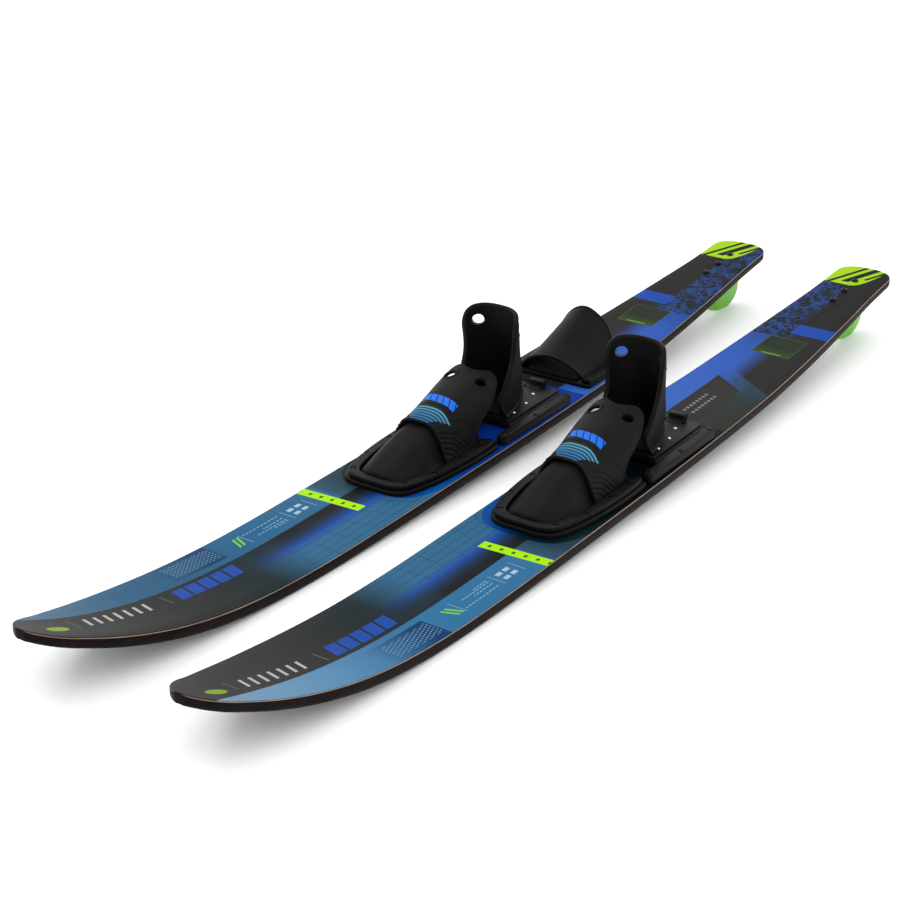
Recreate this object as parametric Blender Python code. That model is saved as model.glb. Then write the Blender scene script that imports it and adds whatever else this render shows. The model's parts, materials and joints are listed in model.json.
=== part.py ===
"""Water ski pair: two combo skis with adjustable bindings, one with a rear toe piece.

Each ski is designed in its own frame: X across, Y along with the tip towards -Y, and Z up from
the flat stretch of the deck.  Stations along the ski are distances from the tip.  An empty then
pitches each frame, so that the ski rests on its running surface and on its fin.
"""
import math

import bmesh
import bpy
import numpy as np
from mathutils import Matrix, Vector

# ---- driving dimensions, metres ------------------------------------------------------------
SKI_LENGTH = 1.702
SKI_SPACING = 0.2306
RIGHT_BINDING_SHIFT = -0.010
REAR_TOE_SHIFT = 0.004
GAP = 0.0003

TIP_RISE = 0.094
TIP_CURVE_END = 0.585
TAIL_RISE = 0.0295
TAIL_CURVE_START = 1.17
CORE_THICKNESS = 0.0168
TIP_THINNING = 0.0035
TAIL_THINNING = 0.003
SHEET_THICKNESS = 0.0008
SHEET_INSET = 0.0009
TUNNEL_DEPTH = 0.003
NOSE_LENGTH = 0.05
TAIL_ROUND = 0.034
SIDECUT = [(0.0, 0.0345), (0.05, 0.0415), (0.08, 0.0500), (0.11, 0.0570), (0.15, 0.0642), (0.20, 0.0706),
           (0.26, 0.0747), (0.35, 0.0768), (0.5, 0.0778), (0.7, 0.0781), (0.9, 0.0775), (1.1, 0.0736),
           (1.3, 0.0660), (1.5, 0.0546), (1.6, 0.0485), (1.702, 0.0460)]

FIN_THICKNESS = 0.006
FIN_FLANGE_WIDTH = 0.014
FIN_FLANGE_HEIGHT = 0.006
FIN_DEPTH = 0.066
FIN_FRONT = 1.545
FIN_REAR = 1.682
FIN_SCREW_STATIONS = (1.563, 1.604, 1.645)

TOE_PLATE_TOP = 0.007
TOE_FRAME_TOP = 0.014
RUBBER = 0.004
FOOTBED_TOP = 0.0105

RAIL_START = 0.850
RAIL_END = 1.031
RAIL_X = 0.066
RAIL_HALF_WIDTH = 0.0075
RAIL_TOP = 0.014
RAIL_SCREW_STATIONS = (0.859, 0.9415, 1.024)
RAIL_SCREW_OFFSET = 0.0012
RAIL_SCREW_LENGTH = 0.0105
GROOVE_BOTTOM = 0.0038
GROOVE_TOP = 0.0088
GROOVE_DEPTH = 0.005
GROOVE_STOP = 0.020

HEEL_PLATE_FRONT = 0.899
HEEL_PLATE_REAR = 1.032
HEEL_PLATE_HALF_WIDTH = 0.049
HEEL_PLATE_BOTTOM = 0.0044
HEEL_PLATE_TOP = 0.014
TONGUE_TOP = 0.0082
NOTCH_HALF_WIDTH = 0.015
NOTCH_FRONT = 1.0135
HEEL_PAD_TOP = 0.0175
STRIP_TOP = 0.0036
STRIP_FRONT = 0.944
STRIP_REAR = 1.030
STRIP_HALF_WIDTH = 0.012
STRIP_PITCH = 0.006

LATCH_X = 0.0115
LATCH_HALF_WIDTH = 0.0125
LATCH_PIN_STATION = 1.0205
LATCH_PIN_HEIGHT = 0.0105
LATCH_PIN_RADIUS = 0.0015

CUP_WALL = 0.006
CUP_BASE = HEEL_PLATE_TOP + GAP

REAR_PLATE_FRONT = 1.070
REAR_PLATE_REAR = 1.166
REAR_PLATE_TOP = 0.006
REAR_PAD_TOP = 0.0095
REAR_CLAMP_TOP = 0.013
REAR_CLAMP_INNER = 0.055
REAR_CLAMP_OUTER = 0.068
REAR_CLAMP_INSET = 0.004
REAR_SCREW_STATIONS = (1.081, 1.140)
REAR_SCREW_LENGTH = 0.0050

SCREW_HEAD_RADIUS = 0.0038
SCREW_HEAD_HEIGHT = 0.0024
SCREW_SHANK_RADIUS = 0.0019
HOLE_RADIUS = 0.0023
EDGE_WIDTH = 0.0012
MOULD_ANGLE = 50


# ---- helpers -------------------------------------------------------------------------------
def clear_scene():
    for item in list(bpy.data.objects):
        bpy.data.objects.remove(item, do_unlink=True)


def along(station):
    """Y in the ski's frame of a distance from the tip."""
    return station - SKI_LENGTH / 2


def curve(points, at):
    """Smooth interpolation through (position, value) points, flat beyond the ends."""
    xs = [p[0] for p in points]
    ys = [p[1] for p in points]
    if at <= xs[0]:
        return ys[0]
    if at >= xs[-1]:
        return ys[-1]
    k = max(i for i in range(len(xs) - 1) if xs[i] <= at)

    def slope(i):
        if i == 0:
            return (ys[1] - ys[0]) / (xs[1] - xs[0])
        if i == len(xs) - 1:
            return (ys[-1] - ys[-2]) / (xs[-1] - xs[-2])
        return (ys[i + 1] - ys[i - 1]) / (xs[i + 1] - xs[i - 1])

    span = xs[k + 1] - xs[k]
    t = (at - xs[k]) / span
    hermite = (2 * t ** 3 - 3 * t ** 2 + 1) * ys[k] + (t ** 3 - 2 * t ** 2 + t) * span * slope(k)
    return hermite + (3 * t ** 2 - 2 * t ** 3) * ys[k + 1] + (t ** 3 - t ** 2) * span * slope(k + 1)


def material(name, colour, roughness, metallic=0.0):
    found = bpy.data.materials.get(name)
    if found:
        return found
    made = bpy.data.materials.new(name)
    made.use_nodes = True
    shader = made.node_tree.nodes["Principled BSDF"]
    shader.inputs["Base Color"].default_value = (*colour, 1.0)
    shader.inputs["Roughness"].default_value = roughness
    shader.inputs["Metallic"].default_value = metallic
    return made


MATERIALS = {
    "core": ((0.022, 0.014, 0.010), 0.45, 0.0),
    "top_sheet": ((0.035, 0.09, 0.16), 0.3, 0.0),
    "fin": ((0.10, 0.38, 0.01), 0.35, 0.0),
    "nylon": ((0.012, 0.012, 0.012), 0.5, 0.0),
    "rubber": ((0.015, 0.015, 0.016), 0.6, 0.0),
    "foam": ((0.02, 0.02, 0.022), 0.85, 0.0),
    "black_screw": ((0.02, 0.02, 0.02), 0.35, 0.8),
    "steel": ((0.6, 0.6, 0.6), 0.25, 1.0),
}


def add_object(name, vertices, faces, look, parent, smooth=False):
    mesh = bpy.data.meshes.new(name)
    mesh.from_pydata([tuple(v) for v in vertices], [], faces)
    build = bmesh.new()
    build.from_mesh(mesh)
    bmesh.ops.remove_doubles(build, verts=build.verts, dist=1e-6)
    bmesh.ops.recalc_face_normals(build, faces=build.faces)
    build.to_mesh(mesh)
    build.free()
    if smooth:
        mesh.shade_smooth()
        mesh.set_sharp_from_angle(angle=math.radians(35))
    item = bpy.data.objects.new(name, mesh)
    bpy.context.collection.objects.link(item)
    item.data.materials.append(material(look, *MATERIALS[look]))
    item.parent = parent
    return item


def loft(name, rings, look, parent, smooth=False):
    """A closed solid through closed rings of the same number of points, with flat ends."""
    count = len(rings[0])
    vertices = [p for ring in rings for p in ring]
    faces = []
    for i in range(len(rings) - 1):
        for j in range(count):
            a = i * count + j
            b = i * count + (j + 1) % count
            faces.append((a, b, b + count, a + count))
    faces.append(tuple(range(count)))
    faces.append(tuple(range(len(vertices) - count, len(vertices))))
    return add_object(name, vertices, faces, look, parent, smooth)


def prism(name, outline, low, high, look, parent, axis="Z"):
    """An outline extruded along an axis: (x, y) outlines along Z, (y, z) outlines along X."""
    if axis == "Z":
        rings = [[(a, b, level) for a, b in outline] for level in (low, high)]
    else:
        rings = [[(level, a, b) for a, b in outline] for level in (low, high)]
    return loft(name, rings, look, parent)


def turned(name, profile, segments, look, parent, centre=(0, 0, 0)):
    """A solid of revolution about Z; the profile runs from the top of the axis to the bottom."""
    rings = []
    for radius, height in profile:
        ring = []
        for k in range(segments):
            angle = 2 * math.pi * k / segments
            ring.append((radius * math.cos(angle), radius * math.sin(angle), height))
        rings.append(ring)
    made = loft(name, rings, look, parent, smooth=True)
    made.location = centre
    return made


def cylinder_cutter(name, radius, start, end, parent, segments=10):
    """A round cutter between two points."""
    start = Vector(start)
    end = Vector(end)
    turn = (end - start).to_track_quat("Z", "Y").to_matrix().to_4x4()
    made = bpy.data.meshes.new(name)
    build = bmesh.new()
    bmesh.ops.create_cone(build, cap_ends=True, segments=segments, radius1=radius, radius2=radius,
                          depth=(end - start).length, matrix=Matrix.Translation((start + end) / 2) @ turn)
    build.to_mesh(made)
    build.free()
    item = bpy.data.objects.new(name, made)
    bpy.context.collection.objects.link(item)
    item.parent = parent
    item.hide_render = True
    item.display_type = "WIRE"
    return item


def box_cutter(name, low, high, parent):
    """A box cutter between two corners."""
    outline = [(low[0], low[1]), (high[0], low[1]), (high[0], high[1]), (low[0], high[1])]
    made = prism(name, outline, low[2], high[2], "nylon", parent)
    made.hide_render = True
    made.display_type = "WIRE"
    return made


def cut(item, cutter):
    """Takes a cutter's shape out of a piece."""
    step = item.modifiers.new("cut_" + cutter.name, "BOOLEAN")
    step.operation = "DIFFERENCE"
    step.solver = "EXACT"
    step.object = cutter


def soften(item, width, segments=1, angle=40):
    """Rounds the edges of a moulded piece."""
    step = item.modifiers.new("edges", "BEVEL")
    step.width = width
    step.segments = segments
    step.limit_method = "ANGLE"
    step.angle_limit = math.radians(angle)


def outline_points(half):
    """A closed outline in the ski's frame from its half at +X, given as (across, station)."""
    placed = [(x, along(s)) for x, s in half]
    return placed + [(-x, y) for x, y in reversed(placed)]


def shell(name, grid, thickness, look, parent, flat_rows=(), flat_columns=()):
    """A wall whose outer face is a grid of points (rows by columns), thickened inwards.

    The rows and columns named as flat stand on a level surface, so they thicken level.
    """
    outer = np.array(grid, dtype=float)
    rows = np.gradient(outer, axis=0)
    columns = np.gradient(outer, axis=1)
    normals = np.cross(columns, rows)
    for row in flat_rows:
        normals[row, :, 2] = 0
    for column in flat_columns:
        normals[:, column, 2] = 0
    for row in flat_rows:
        normals[row, 0] = normals[row, 1]
        normals[row, -1] = normals[row, -2]
    normals /= np.linalg.norm(normals, axis=2, keepdims=True)
    inner = outer - normals * thickness
    high, wide = outer.shape[:2]
    vertices = [tuple(p) for p in outer.reshape(-1, 3)] + [tuple(p) for p in inner.reshape(-1, 3)]
    offset = high * wide
    faces = []
    for i in range(high - 1):
        for j in range(wide - 1):
            a = i * wide + j
            quad = (a, a + 1, a + wide + 1, a + wide)
            faces.append(quad)
            faces.append(tuple(offset + k for k in reversed(quad)))
    rim = [j for j in range(wide)]
    rim += [i * wide + wide - 1 for i in range(1, high)]
    rim += [(high - 1) * wide + j for j in range(wide - 2, -1, -1)]
    rim += [i * wide for i in range(high - 2, 0, -1)]
    for a, b in zip(rim, rim[1:] + rim[:1]):
        faces.append((a, offset + a, offset + b, b))
    return add_object(name, vertices, faces, look, parent, smooth=True)


def at_length(across, up, fraction):
    """Across and up at a fraction of a curve's length; a negative fraction is on the other side."""
    lengths = np.concatenate([[0], np.cumsum(np.hypot(np.diff(across), np.diff(up)))])
    at = abs(fraction) * lengths[-1]
    side = 1 if fraction >= 0 else -1
    return side * float(np.interp(at, lengths, across)), float(np.interp(at, lengths, up))


def arch(width, height, power, fraction):
    """A superellipse arch: 0 is its crown, 1 and -1 are its two feet."""
    angles = np.linspace(0, math.pi / 2, 200)
    return at_length(width * np.sin(angles) ** (2 / power), height * np.cos(angles) ** (2 / power), fraction)


def bell(width, height, fraction):
    """A bell-shaped arch with flared feet: 0 is its crown, 1 and -1 are its two feet."""
    run = np.linspace(0, 1, 200)
    return at_length(width * run, height * (1 - run ** 4) ** 2, fraction)


def mixed_arch(width, height, power, boxy, fraction):
    """Between a bell (boxy 0) and a superellipse (boxy 1)."""
    bell_x, bell_up = bell(width, height, fraction)
    box_x, box_up = arch(width, height, power, fraction)
    return bell_x + boxy * (box_x - bell_x), bell_up + boxy * (box_up - bell_up)


# ---- the ski -------------------------------------------------------------------------------
def deck_height(station):
    """Height of the deck's centre line above its flat stretch."""
    if station < TIP_CURVE_END:
        return TIP_RISE * (1 - station / TIP_CURVE_END) ** 3
    if station > TAIL_CURVE_START:
        return TAIL_RISE * ((station - TAIL_CURVE_START) / (SKI_LENGTH - TAIL_CURVE_START)) ** 1.5
    return 0.0


def half_width(station):
    """Half the ski's width: the sidecut, rounded off at the tip and the tail."""
    body = curve(SIDECUT, station)
    if station < NOSE_LENGTH:
        return body * math.sqrt(1 - (1 - station / NOSE_LENGTH) ** 2)
    tail = (station - (SKI_LENGTH - TAIL_ROUND)) / TAIL_ROUND
    if tail > 0:
        return body * (1 - tail ** 3) ** 0.45
    return body


def core_thickness(station):
    """Thickness of the core, thinner towards the tip and the tail."""
    near_tip = max(0.0, 1 - station / 0.35)
    near_tail = max(0.0, (station - 1.4) / (SKI_LENGTH - 1.4))
    return CORE_THICKNESS - TIP_THINNING * near_tip ** 2 - TAIL_THINNING * near_tail


def ski_stations():
    """Stations of the cross sections, closer together where the outline turns."""
    tip = [0.0008, 0.004, 0.010, 0.020, 0.034, 0.052, 0.075, 0.10, 0.13, 0.17]
    middle = [0.22 + 0.055 * k for k in range(26)]
    tail = [1.64, SKI_LENGTH - TAIL_ROUND]
    tail += [SKI_LENGTH - TAIL_ROUND * (1 - f) for f in (0.35, 0.6, 0.8, 0.92, 0.985)]
    return tip + middle + tail


def core_ring(station):
    """Cross section of the core: flat top, upright side walls and a concave base."""
    wide = half_width(station)
    top = deck_height(station) - SHEET_THICKNESS - GAP
    low = top - core_thickness(station)
    tunnel = TUNNEL_DEPTH * min(1.0, wide / 0.05)
    edge = min(0.004, 0.25 * wide)
    half = [(wide - 0.2 * edge, top), (wide, top - 0.2 * edge), (wide, low + 1.2 * edge),
            (wide - 0.5 * edge, low + 0.3 * edge), (wide - 1.3 * edge, low), (0.62 * wide, low),
            (0.3 * wide, low + 0.7 * tunnel), (0.0, low + tunnel)]
    points = half + [(-x, z) for x, z in reversed(half[:-1])]
    return [(x, along(station), z) for x, z in points]


def sheet_ring(station):
    """Cross section of the printed top sheet."""
    wide = max(half_width(station) - SHEET_INSET, 0.0006)
    top = deck_height(station)
    low = top - SHEET_THICKNESS
    return [(x, along(station), z) for x, z in ((wide, low), (wide, top), (-wide, top), (-wide, low))]


def screw(name, head_top, length, look, parent, place, radius=SCREW_HEAD_RADIUS):
    """A domed screw; place is under the middle of its head."""
    profile = [(0, head_top), (0.72 * radius, 0.8 * head_top), (radius, 0.15 * head_top), (radius, 0),
               (SCREW_SHANK_RADIUS, 0), (SCREW_SHANK_RADIUS, -length), (0, -length)]
    return turned(name, profile, 8, look, parent, place)


def screw_hole(name, place, length, parent):
    """The cutter of a blind hole for a screw's shank."""
    bottom = place - Vector((0, 0, length + 2 * GAP))
    return cylinder_cutter(name, HOLE_RADIUS, bottom, place + Vector((0, 0, 0.01)), parent, segments=8)


def ski(side, frame):
    """Core, top sheet, fin and the fin's screws."""
    stations = ski_stations()
    core = loft(side + "_ski_core", [core_ring(s) for s in stations], "core", frame, smooth=True)
    rings = [sheet_ring(s) for s in stations[1:-1]]
    sheet = loft(side + "_top_sheet", rings, "top_sheet", frame, smooth=True)
    fin_piece = fin(side, frame)
    for number, station in enumerate(FIN_SCREW_STATIONS, 1):
        top = deck_height(station)
        root = top - SHEET_THICKNESS - core_thickness(station)
        hole = cylinder_cutter(f"{side}_fin_hole_{number}", HOLE_RADIUS, (0, along(station), root - 0.0035),
                               (0, along(station), top + 0.02), frame)
        cut(core, hole)
        cut(sheet, hole)
        cut(fin_piece, hole)
        screw(f"{side}_fin_screw_{number}", 0.0034, top - root + 0.0022, "black_screw", frame,
              (0, along(station), top + GAP + 0.0002), radius=0.0055)


def fin(side, frame):
    """The fin: a flange under the base and a rounded blade."""
    def root(station):
        """Height of the tunnel's roof above the fin."""
        return (deck_height(station) - SHEET_THICKNESS - GAP - core_thickness(station)
                + TUNNEL_DEPTH * min(1.0, half_width(station) / 0.05) - GAP)

    count = 6
    flange_end = FIN_REAR - 0.012
    run = [FIN_FRONT + (flange_end - FIN_FRONT) * k / count for k in range(count + 1)]
    upper = [(along(s), root(s) - 0.0009) for s in run]
    low_edge = [(1.676, -0.040), (1.671, -0.052), (1.660, -0.061), (1.645, -FIN_DEPTH), (1.625, -0.0655),
                (1.600, -0.0615), (1.575, -0.052), (1.558, -0.038)]
    lower = [(along(s), z) for s, z in low_edge]
    blade = prism(side + "_fin", upper + lower, -FIN_THICKNESS / 2, FIN_THICKNESS / 2, "fin", frame, axis="X")
    soften(blade, EDGE_WIDTH)
    return blade


# ---- toe binding ---------------------------------------------------------------------------
TOE_OUTER = [(0.0, 0.640), (0.022, 0.6408), (0.038, 0.6445), (0.048, 0.653), (0.055, 0.670), (0.062, 0.702),
             (0.0665, 0.740), (0.069, 0.785), (0.0685, 0.826), (0.066, 0.836), (0.0605, 0.8395)]
TOE_INNER = [(0.054, 0.836), (0.0530, 0.826), (0.0530, 0.760), (0.0515, 0.730), (0.0455, 0.694),
             (0.0385, 0.668), (0.031, 0.6575), (0.018, 0.6535), (0.0, 0.6530)]


def toe_frame(side, frame):
    """The upper clamp: a U open at the rear."""
    right = TOE_OUTER + TOE_INNER
    left = [(-x, s) for x, s in reversed(right[1:]) if x > 0]
    outline = [(x, along(s)) for x, s in right + left]
    piece = prism(side + "_toe_frame", outline, TOE_PLATE_TOP + GAP, TOE_FRAME_TOP, "nylon", frame)
    soften(piece, EDGE_WIDTH, angle=MOULD_ANGLE)


def toe_plate(side, frame):
    """The base plate under the clamp."""
    half = [(0.0, 0.6365), (0.023, 0.6372), (0.040, 0.641), (0.0515, 0.651), (0.0585, 0.669), (0.0655, 0.701),
            (0.070, 0.740), (0.0725, 0.785), (0.072, 0.834), (0.069, 0.843), (0.062, 0.8455), (0.0, 0.8455)]
    piece = prism(side + "_toe_plate", outline_points(half[1:-1]), GAP, TOE_PLATE_TOP, "nylon", frame)
    soften(piece, EDGE_WIDTH, angle=MOULD_ANGLE)
    return piece


def footbed(side, frame):
    """The foam pad on the base plate."""
    half = [(0.010, 0.668), (0.020, 0.673), (0.026, 0.686), (0.031, 0.710), (0.032, 0.740), (0.034, 0.80),
            (0.034, 0.840)]
    return prism(side + "_footbed", outline_points(half), TOE_PLATE_TOP + GAP, FOOTBED_TOP, "foam", frame)


COVER_RIDGE = [(0.6540, 0.0), (0.6545, 0.008), (0.6575, 0.0125), (0.6645, 0.0165), (0.680, 0.023),
               (0.703, 0.032), (0.725, 0.0405), (0.745, 0.0455), (0.765, 0.0465)]
COVER_FEET = [(0.0330, 0.6620), (0.0350, 0.6650), (0.0375, 0.6700), (0.0405, 0.6790), (0.0445, 0.6950),
              (0.0470, 0.7170), (0.0455, 0.7350), (0.0445, 0.7480), (0.0435, 0.7650)]
COVER_BOXY = [1.0, 0.9, 0.7, 0.5, 0.3, 0.15, 0.0, 0.0, 0.0]


def toe_cover(side, frame):
    """The rubber toe cover: a cap that rises from the clamp's opening to the instep."""
    columns = 17
    grid = []
    for (crown, rise), (across, station), boxy in zip(COVER_RIDGE, COVER_FEET, COVER_BOXY):
        row = []
        for k in range(columns):
            part = -1 + 2 * k / (columns - 1)
            x, up = mixed_arch(1.0, 1.0, 2.0, boxy, part)
            s = crown + (station - crown) * (1 - up)
            row.append((x * across, along(s), TOE_PLATE_TOP + GAP + rise * up))
        grid.append(row)
    return shell(side + "_toe_cover", grid, RUBBER, "rubber", frame, flat_rows=(0,), flat_columns=(0, -1))


WRAP_FRONT = 0.748
WRAP_REAR = [(0.0, 0.879), (0.12, 0.887), (0.20, 0.891), (0.30, 0.889), (0.38, 0.883), (0.46, 0.872),
             (0.55, 0.860), (0.64, 0.840), (0.76, 0.824), (0.88, 0.822), (1.0, 0.830)]
WRAP_HEIGHT = [(0.748, 0.053), (0.785, 0.062), (0.811, 0.068), (0.842, 0.074), (0.870, 0.079), (0.890, 0.083)]
WRAP_BOXY = [(0.748, 0.0), (0.785, 0.4), (0.811, 0.75), (0.842, 1.0)]
WRAP_POWER = [(0.80, 2.4), (0.842, 2.9), (0.87, 3.5)]
WRAP_HALF_WIDTH = 0.0522
FINGER_HOLE = (0.0265, 0.864)
FINGER_RADIUS = 0.0085


def instep_wrap(side, frame):
    """The rubber instep wrap with its two rear lobes and finger holes."""
    rows = 10
    columns = 17
    grid = []
    for i in range(rows):
        row = []
        for k in range(columns):
            part = -1 + 2 * k / (columns - 1)
            rear = curve(WRAP_REAR, abs(part))
            s = WRAP_FRONT + (rear - WRAP_FRONT) * i / (rows - 1)
            x, up = mixed_arch(WRAP_HALF_WIDTH, curve(WRAP_HEIGHT, s), curve(WRAP_POWER, s),
                               curve(WRAP_BOXY, s), part)
            row.append((x, along(s), TOE_PLATE_TOP + GAP + up))
        grid.append(row)
    piece = shell(side + "_instep_wrap", grid, RUBBER, "rubber", frame, flat_columns=(0, -1))
    for number, sign in enumerate((1, -1), 1):
        x = sign * FINGER_HOLE[0]
        y = along(FINGER_HOLE[1])
        hole = cylinder_cutter(f"{side}_instep_finger_{number}", FINGER_RADIUS, (0.9 * x, y, 0.06),
                               (1.15 * x, y - 0.004, 0.12), frame, segments=12)
        cut(piece, hole)
    return piece


# ---- heel binding --------------------------------------------------------------------------
def rail(side, number, sign, frame):
    """A side rail with a groove for the heel plate, and its three screws."""
    inner = RAIL_X - RAIL_HALF_WIDTH
    outer = RAIL_X + RAIL_HALF_WIDTH
    corner = 0.005
    half = [(inner, RAIL_START + corner), (inner + corner, RAIL_START), (outer - corner, RAIL_START),
            (outer, RAIL_START + corner), (outer, RAIL_END - corner), (outer - corner, RAIL_END),
            (inner + corner, RAIL_END), (inner, RAIL_END - corner)]
    outline = [(sign * x, along(s)) for x, s in half]
    piece = prism(f"{side}_rail_{number}", outline, GAP, RAIL_TOP, "nylon", frame)
    soften(piece, EDGE_WIDTH, angle=MOULD_ANGLE)
    near, far = sorted((sign * (inner - 0.002), sign * (inner + GROOVE_DEPTH)))
    low = (near, along(RAIL_START + GROOVE_STOP), GROOVE_BOTTOM)
    high = (far, along(RAIL_END + GROOVE_STOP), GROOVE_TOP)
    cut(piece, box_cutter(f"{side}_rail_groove_{number}", low, high, frame))
    for k, station in enumerate(RAIL_SCREW_STATIONS):
        place = Vector((sign * (RAIL_X + RAIL_SCREW_OFFSET), along(station), RAIL_TOP + GAP))
        cut(piece, screw_hole(f"{side}_rail_hole_{number}_{k}", place, RAIL_SCREW_LENGTH, frame))
        screw(f"{side}_rail_screw_{3 * (number - 1) + k + 1}", SCREW_HEAD_HEIGHT, RAIL_SCREW_LENGTH,
              "black_screw", frame, place)
    return piece


def index_strip(side, frame):
    """The toothed strip that the latch drops into."""
    teeth = []
    count = int((STRIP_REAR - STRIP_FRONT) / STRIP_PITCH)
    for k in range(count):
        start = STRIP_FRONT + k * STRIP_PITCH
        teeth += [(along(start), STRIP_TOP - 0.0015), (along(start + 0.6 * STRIP_PITCH), STRIP_TOP),
                  (along(start + STRIP_PITCH), STRIP_TOP)]
    end = STRIP_FRONT + count * STRIP_PITCH
    outline = teeth + [(along(end), GAP), (along(STRIP_FRONT), GAP)]
    low = LATCH_X - STRIP_HALF_WIDTH
    high = LATCH_X + STRIP_HALF_WIDTH
    return prism(side + "_index_strip", outline, low, high, "nylon", frame, "X")


def heel_plate(side, frame):
    """The sliding plate, with a tongue in each rail and a notch for the latch."""
    tongue = RAIL_X - RAIL_HALF_WIDTH + GROOVE_DEPTH - 0.0006
    shoulder = HEEL_PLATE_HALF_WIDTH
    half = [(tongue, HEEL_PLATE_BOTTOM), (tongue, TONGUE_TOP), (shoulder + 0.002, TONGUE_TOP),
            (shoulder, TONGUE_TOP + 0.002), (shoulder, HEEL_PLATE_TOP - 0.001),
            (shoulder - 0.001, HEEL_PLATE_TOP)]
    section = half + [(-x, z) for x, z in reversed(half)]
    ends = (HEEL_PLATE_FRONT, HEEL_PLATE_REAR)
    rings = [[(x, along(s), z) for x, z in section] for s in ends]
    piece = loft(side + "_heel_plate", rings, "nylon", frame)
    notch = box_cutter(side + "_latch_notch", (LATCH_X - NOTCH_HALF_WIDTH, along(NOTCH_FRONT), 0.0),
                       (LATCH_X + NOTCH_HALF_WIDTH, along(HEEL_PLATE_REAR + 0.01), 0.03), frame)
    cut(piece, notch)
    reach = NOTCH_HALF_WIDTH + 0.004
    bore = cylinder_cutter(side + "_latch_pin_bore", LATCH_PIN_RADIUS + GAP,
                           (LATCH_X - reach, along(LATCH_PIN_STATION), LATCH_PIN_HEIGHT),
                           (LATCH_X + reach, along(LATCH_PIN_STATION), LATCH_PIN_HEIGHT), frame)
    cut(piece, bore)
    return piece


def latch(side, frame):
    """The latch lever and its cross pin; both hang from an empty on the hinge axis."""
    axis = empty(side + "_latch_axis", frame, (LATCH_X, along(LATCH_PIN_STATION), LATCH_PIN_HEIGHT))
    profile = [(-0.0055, -0.0035), (0.0050, -0.0035), (0.0060, -0.0064), (0.0105, -0.0064), (0.0115, 0.0010),
               (0.0170, 0.0020), (0.0175, 0.0095), (0.0160, 0.0115), (0.0085, 0.0115), (0.0070, 0.0100),
               (0.0060, 0.0045), (-0.0040, 0.0035), (-0.0055, 0.0020)]
    lever = prism(side + "_latch", profile, -LATCH_HALF_WIDTH, LATCH_HALF_WIDTH, "nylon", axis, axis="X")
    reach = NOTCH_HALF_WIDTH + 0.0035
    bore = cylinder_cutter(side + "_latch_bore", LATCH_PIN_RADIUS + GAP, (-reach, 0, 0), (reach, 0, 0), axis)
    cut(lever, bore)
    ring = [(math.cos(k * math.pi / 5), math.sin(k * math.pi / 5)) for k in range(10)]
    outline = [(LATCH_PIN_RADIUS * a, LATCH_PIN_RADIUS * b) for a, b in ring]
    prism(side + "_latch_pin", outline, -reach, reach, "steel", axis, axis="X")
    return lever


CUP_TOP = [(0.0, 0.164), (0.35, 0.164), (0.6, 0.162), (0.75, 0.158), (0.85, 0.153), (0.93, 0.145), (1.0, 0.132)]
CUP_FRONT = [(0.014, 0.907), (0.03, 0.893), (0.045, 0.889), (0.06, 0.902), (0.09, 0.918), (0.115, 0.922),
             (0.14, 0.920), (0.165, 0.915)]
CUP_REAR = [(0.014, 1.006), (0.05, 0.993), (0.09, 0.974), (0.13, 0.960), (0.165, 0.953)]
CUP_WIDTH = [(0.014, 0.040), (0.03, 0.0415), (0.06, 0.041), (0.10, 0.0425), (0.135, 0.0455), (0.165, 0.046)]
CUP_POWER = [(0.014, 1.3), (0.03, 1.55), (0.05, 1.95), (0.08, 2.1)]
CUP_HOLE = (0.0335, 0.138)


def cup_point(part, level):
    """A point of the heel cup's outer face: part runs round the heel from -1 to 1."""
    front = curve(CUP_FRONT, level)
    rear = curve(CUP_REAR, level)
    x, back = arch(curve(CUP_WIDTH, level), rear - front, curve(CUP_POWER, level), part)
    return (x, along(front + back), level)


def heel_cup(side, frame):
    """The rubber heel cup, open at the front and the top, with two finger holes."""
    rows = 11
    columns = 17
    grid = []
    for i in range(rows):
        row = []
        for k in range(columns):
            part = 1 - 2 * k / (columns - 1)
            top = curve(CUP_TOP, abs(part))
            row.append(cup_point(part, CUP_BASE + (top - CUP_BASE) * i / (rows - 1)))
        grid.append(row)
    piece = shell(side + "_heel_cup", grid, CUP_WALL, "rubber", frame, flat_rows=(0,))
    for number, sign in enumerate((1, -1), 1):
        inside = (sign * 0.45 * CUP_HOLE[0], along(0.905), CUP_HOLE[1])
        outside = (sign * 1.5 * CUP_HOLE[0], along(0.985), CUP_HOLE[1])
        cut(piece, cylinder_cutter(f"{side}_cup_finger_{number}", FINGER_RADIUS, inside, outside, frame, 12))
    return piece


def heel_pad(side, frame):
    """The foam pad inside the cup."""
    half = [(0.029, 0.910), (0.026, 0.926), (0.0210, 0.945), (0.0155, 0.962), (0.008, 0.978)]
    return prism(side + "_heel_pad", outline_points(half), HEEL_PLATE_TOP + GAP, HEEL_PAD_TOP, "foam", frame)


# ---- rear toe piece ------------------------------------------------------------------------
HOOD_FRONT = [(0.0, 1.068), (0.5, 1.070), (1.0, 1.078)]
HOOD_REAR = [(0.0, 1.171), (0.2, 1.173), (0.5, 1.176), (0.75, 1.170), (1.0, 1.158)]
HOOD_HEIGHT = [(1.065, 0.031), (1.10, 0.044), (1.14, 0.064), (1.18, 0.084)]
HOOD_HALF_WIDTH = 0.0545


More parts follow.
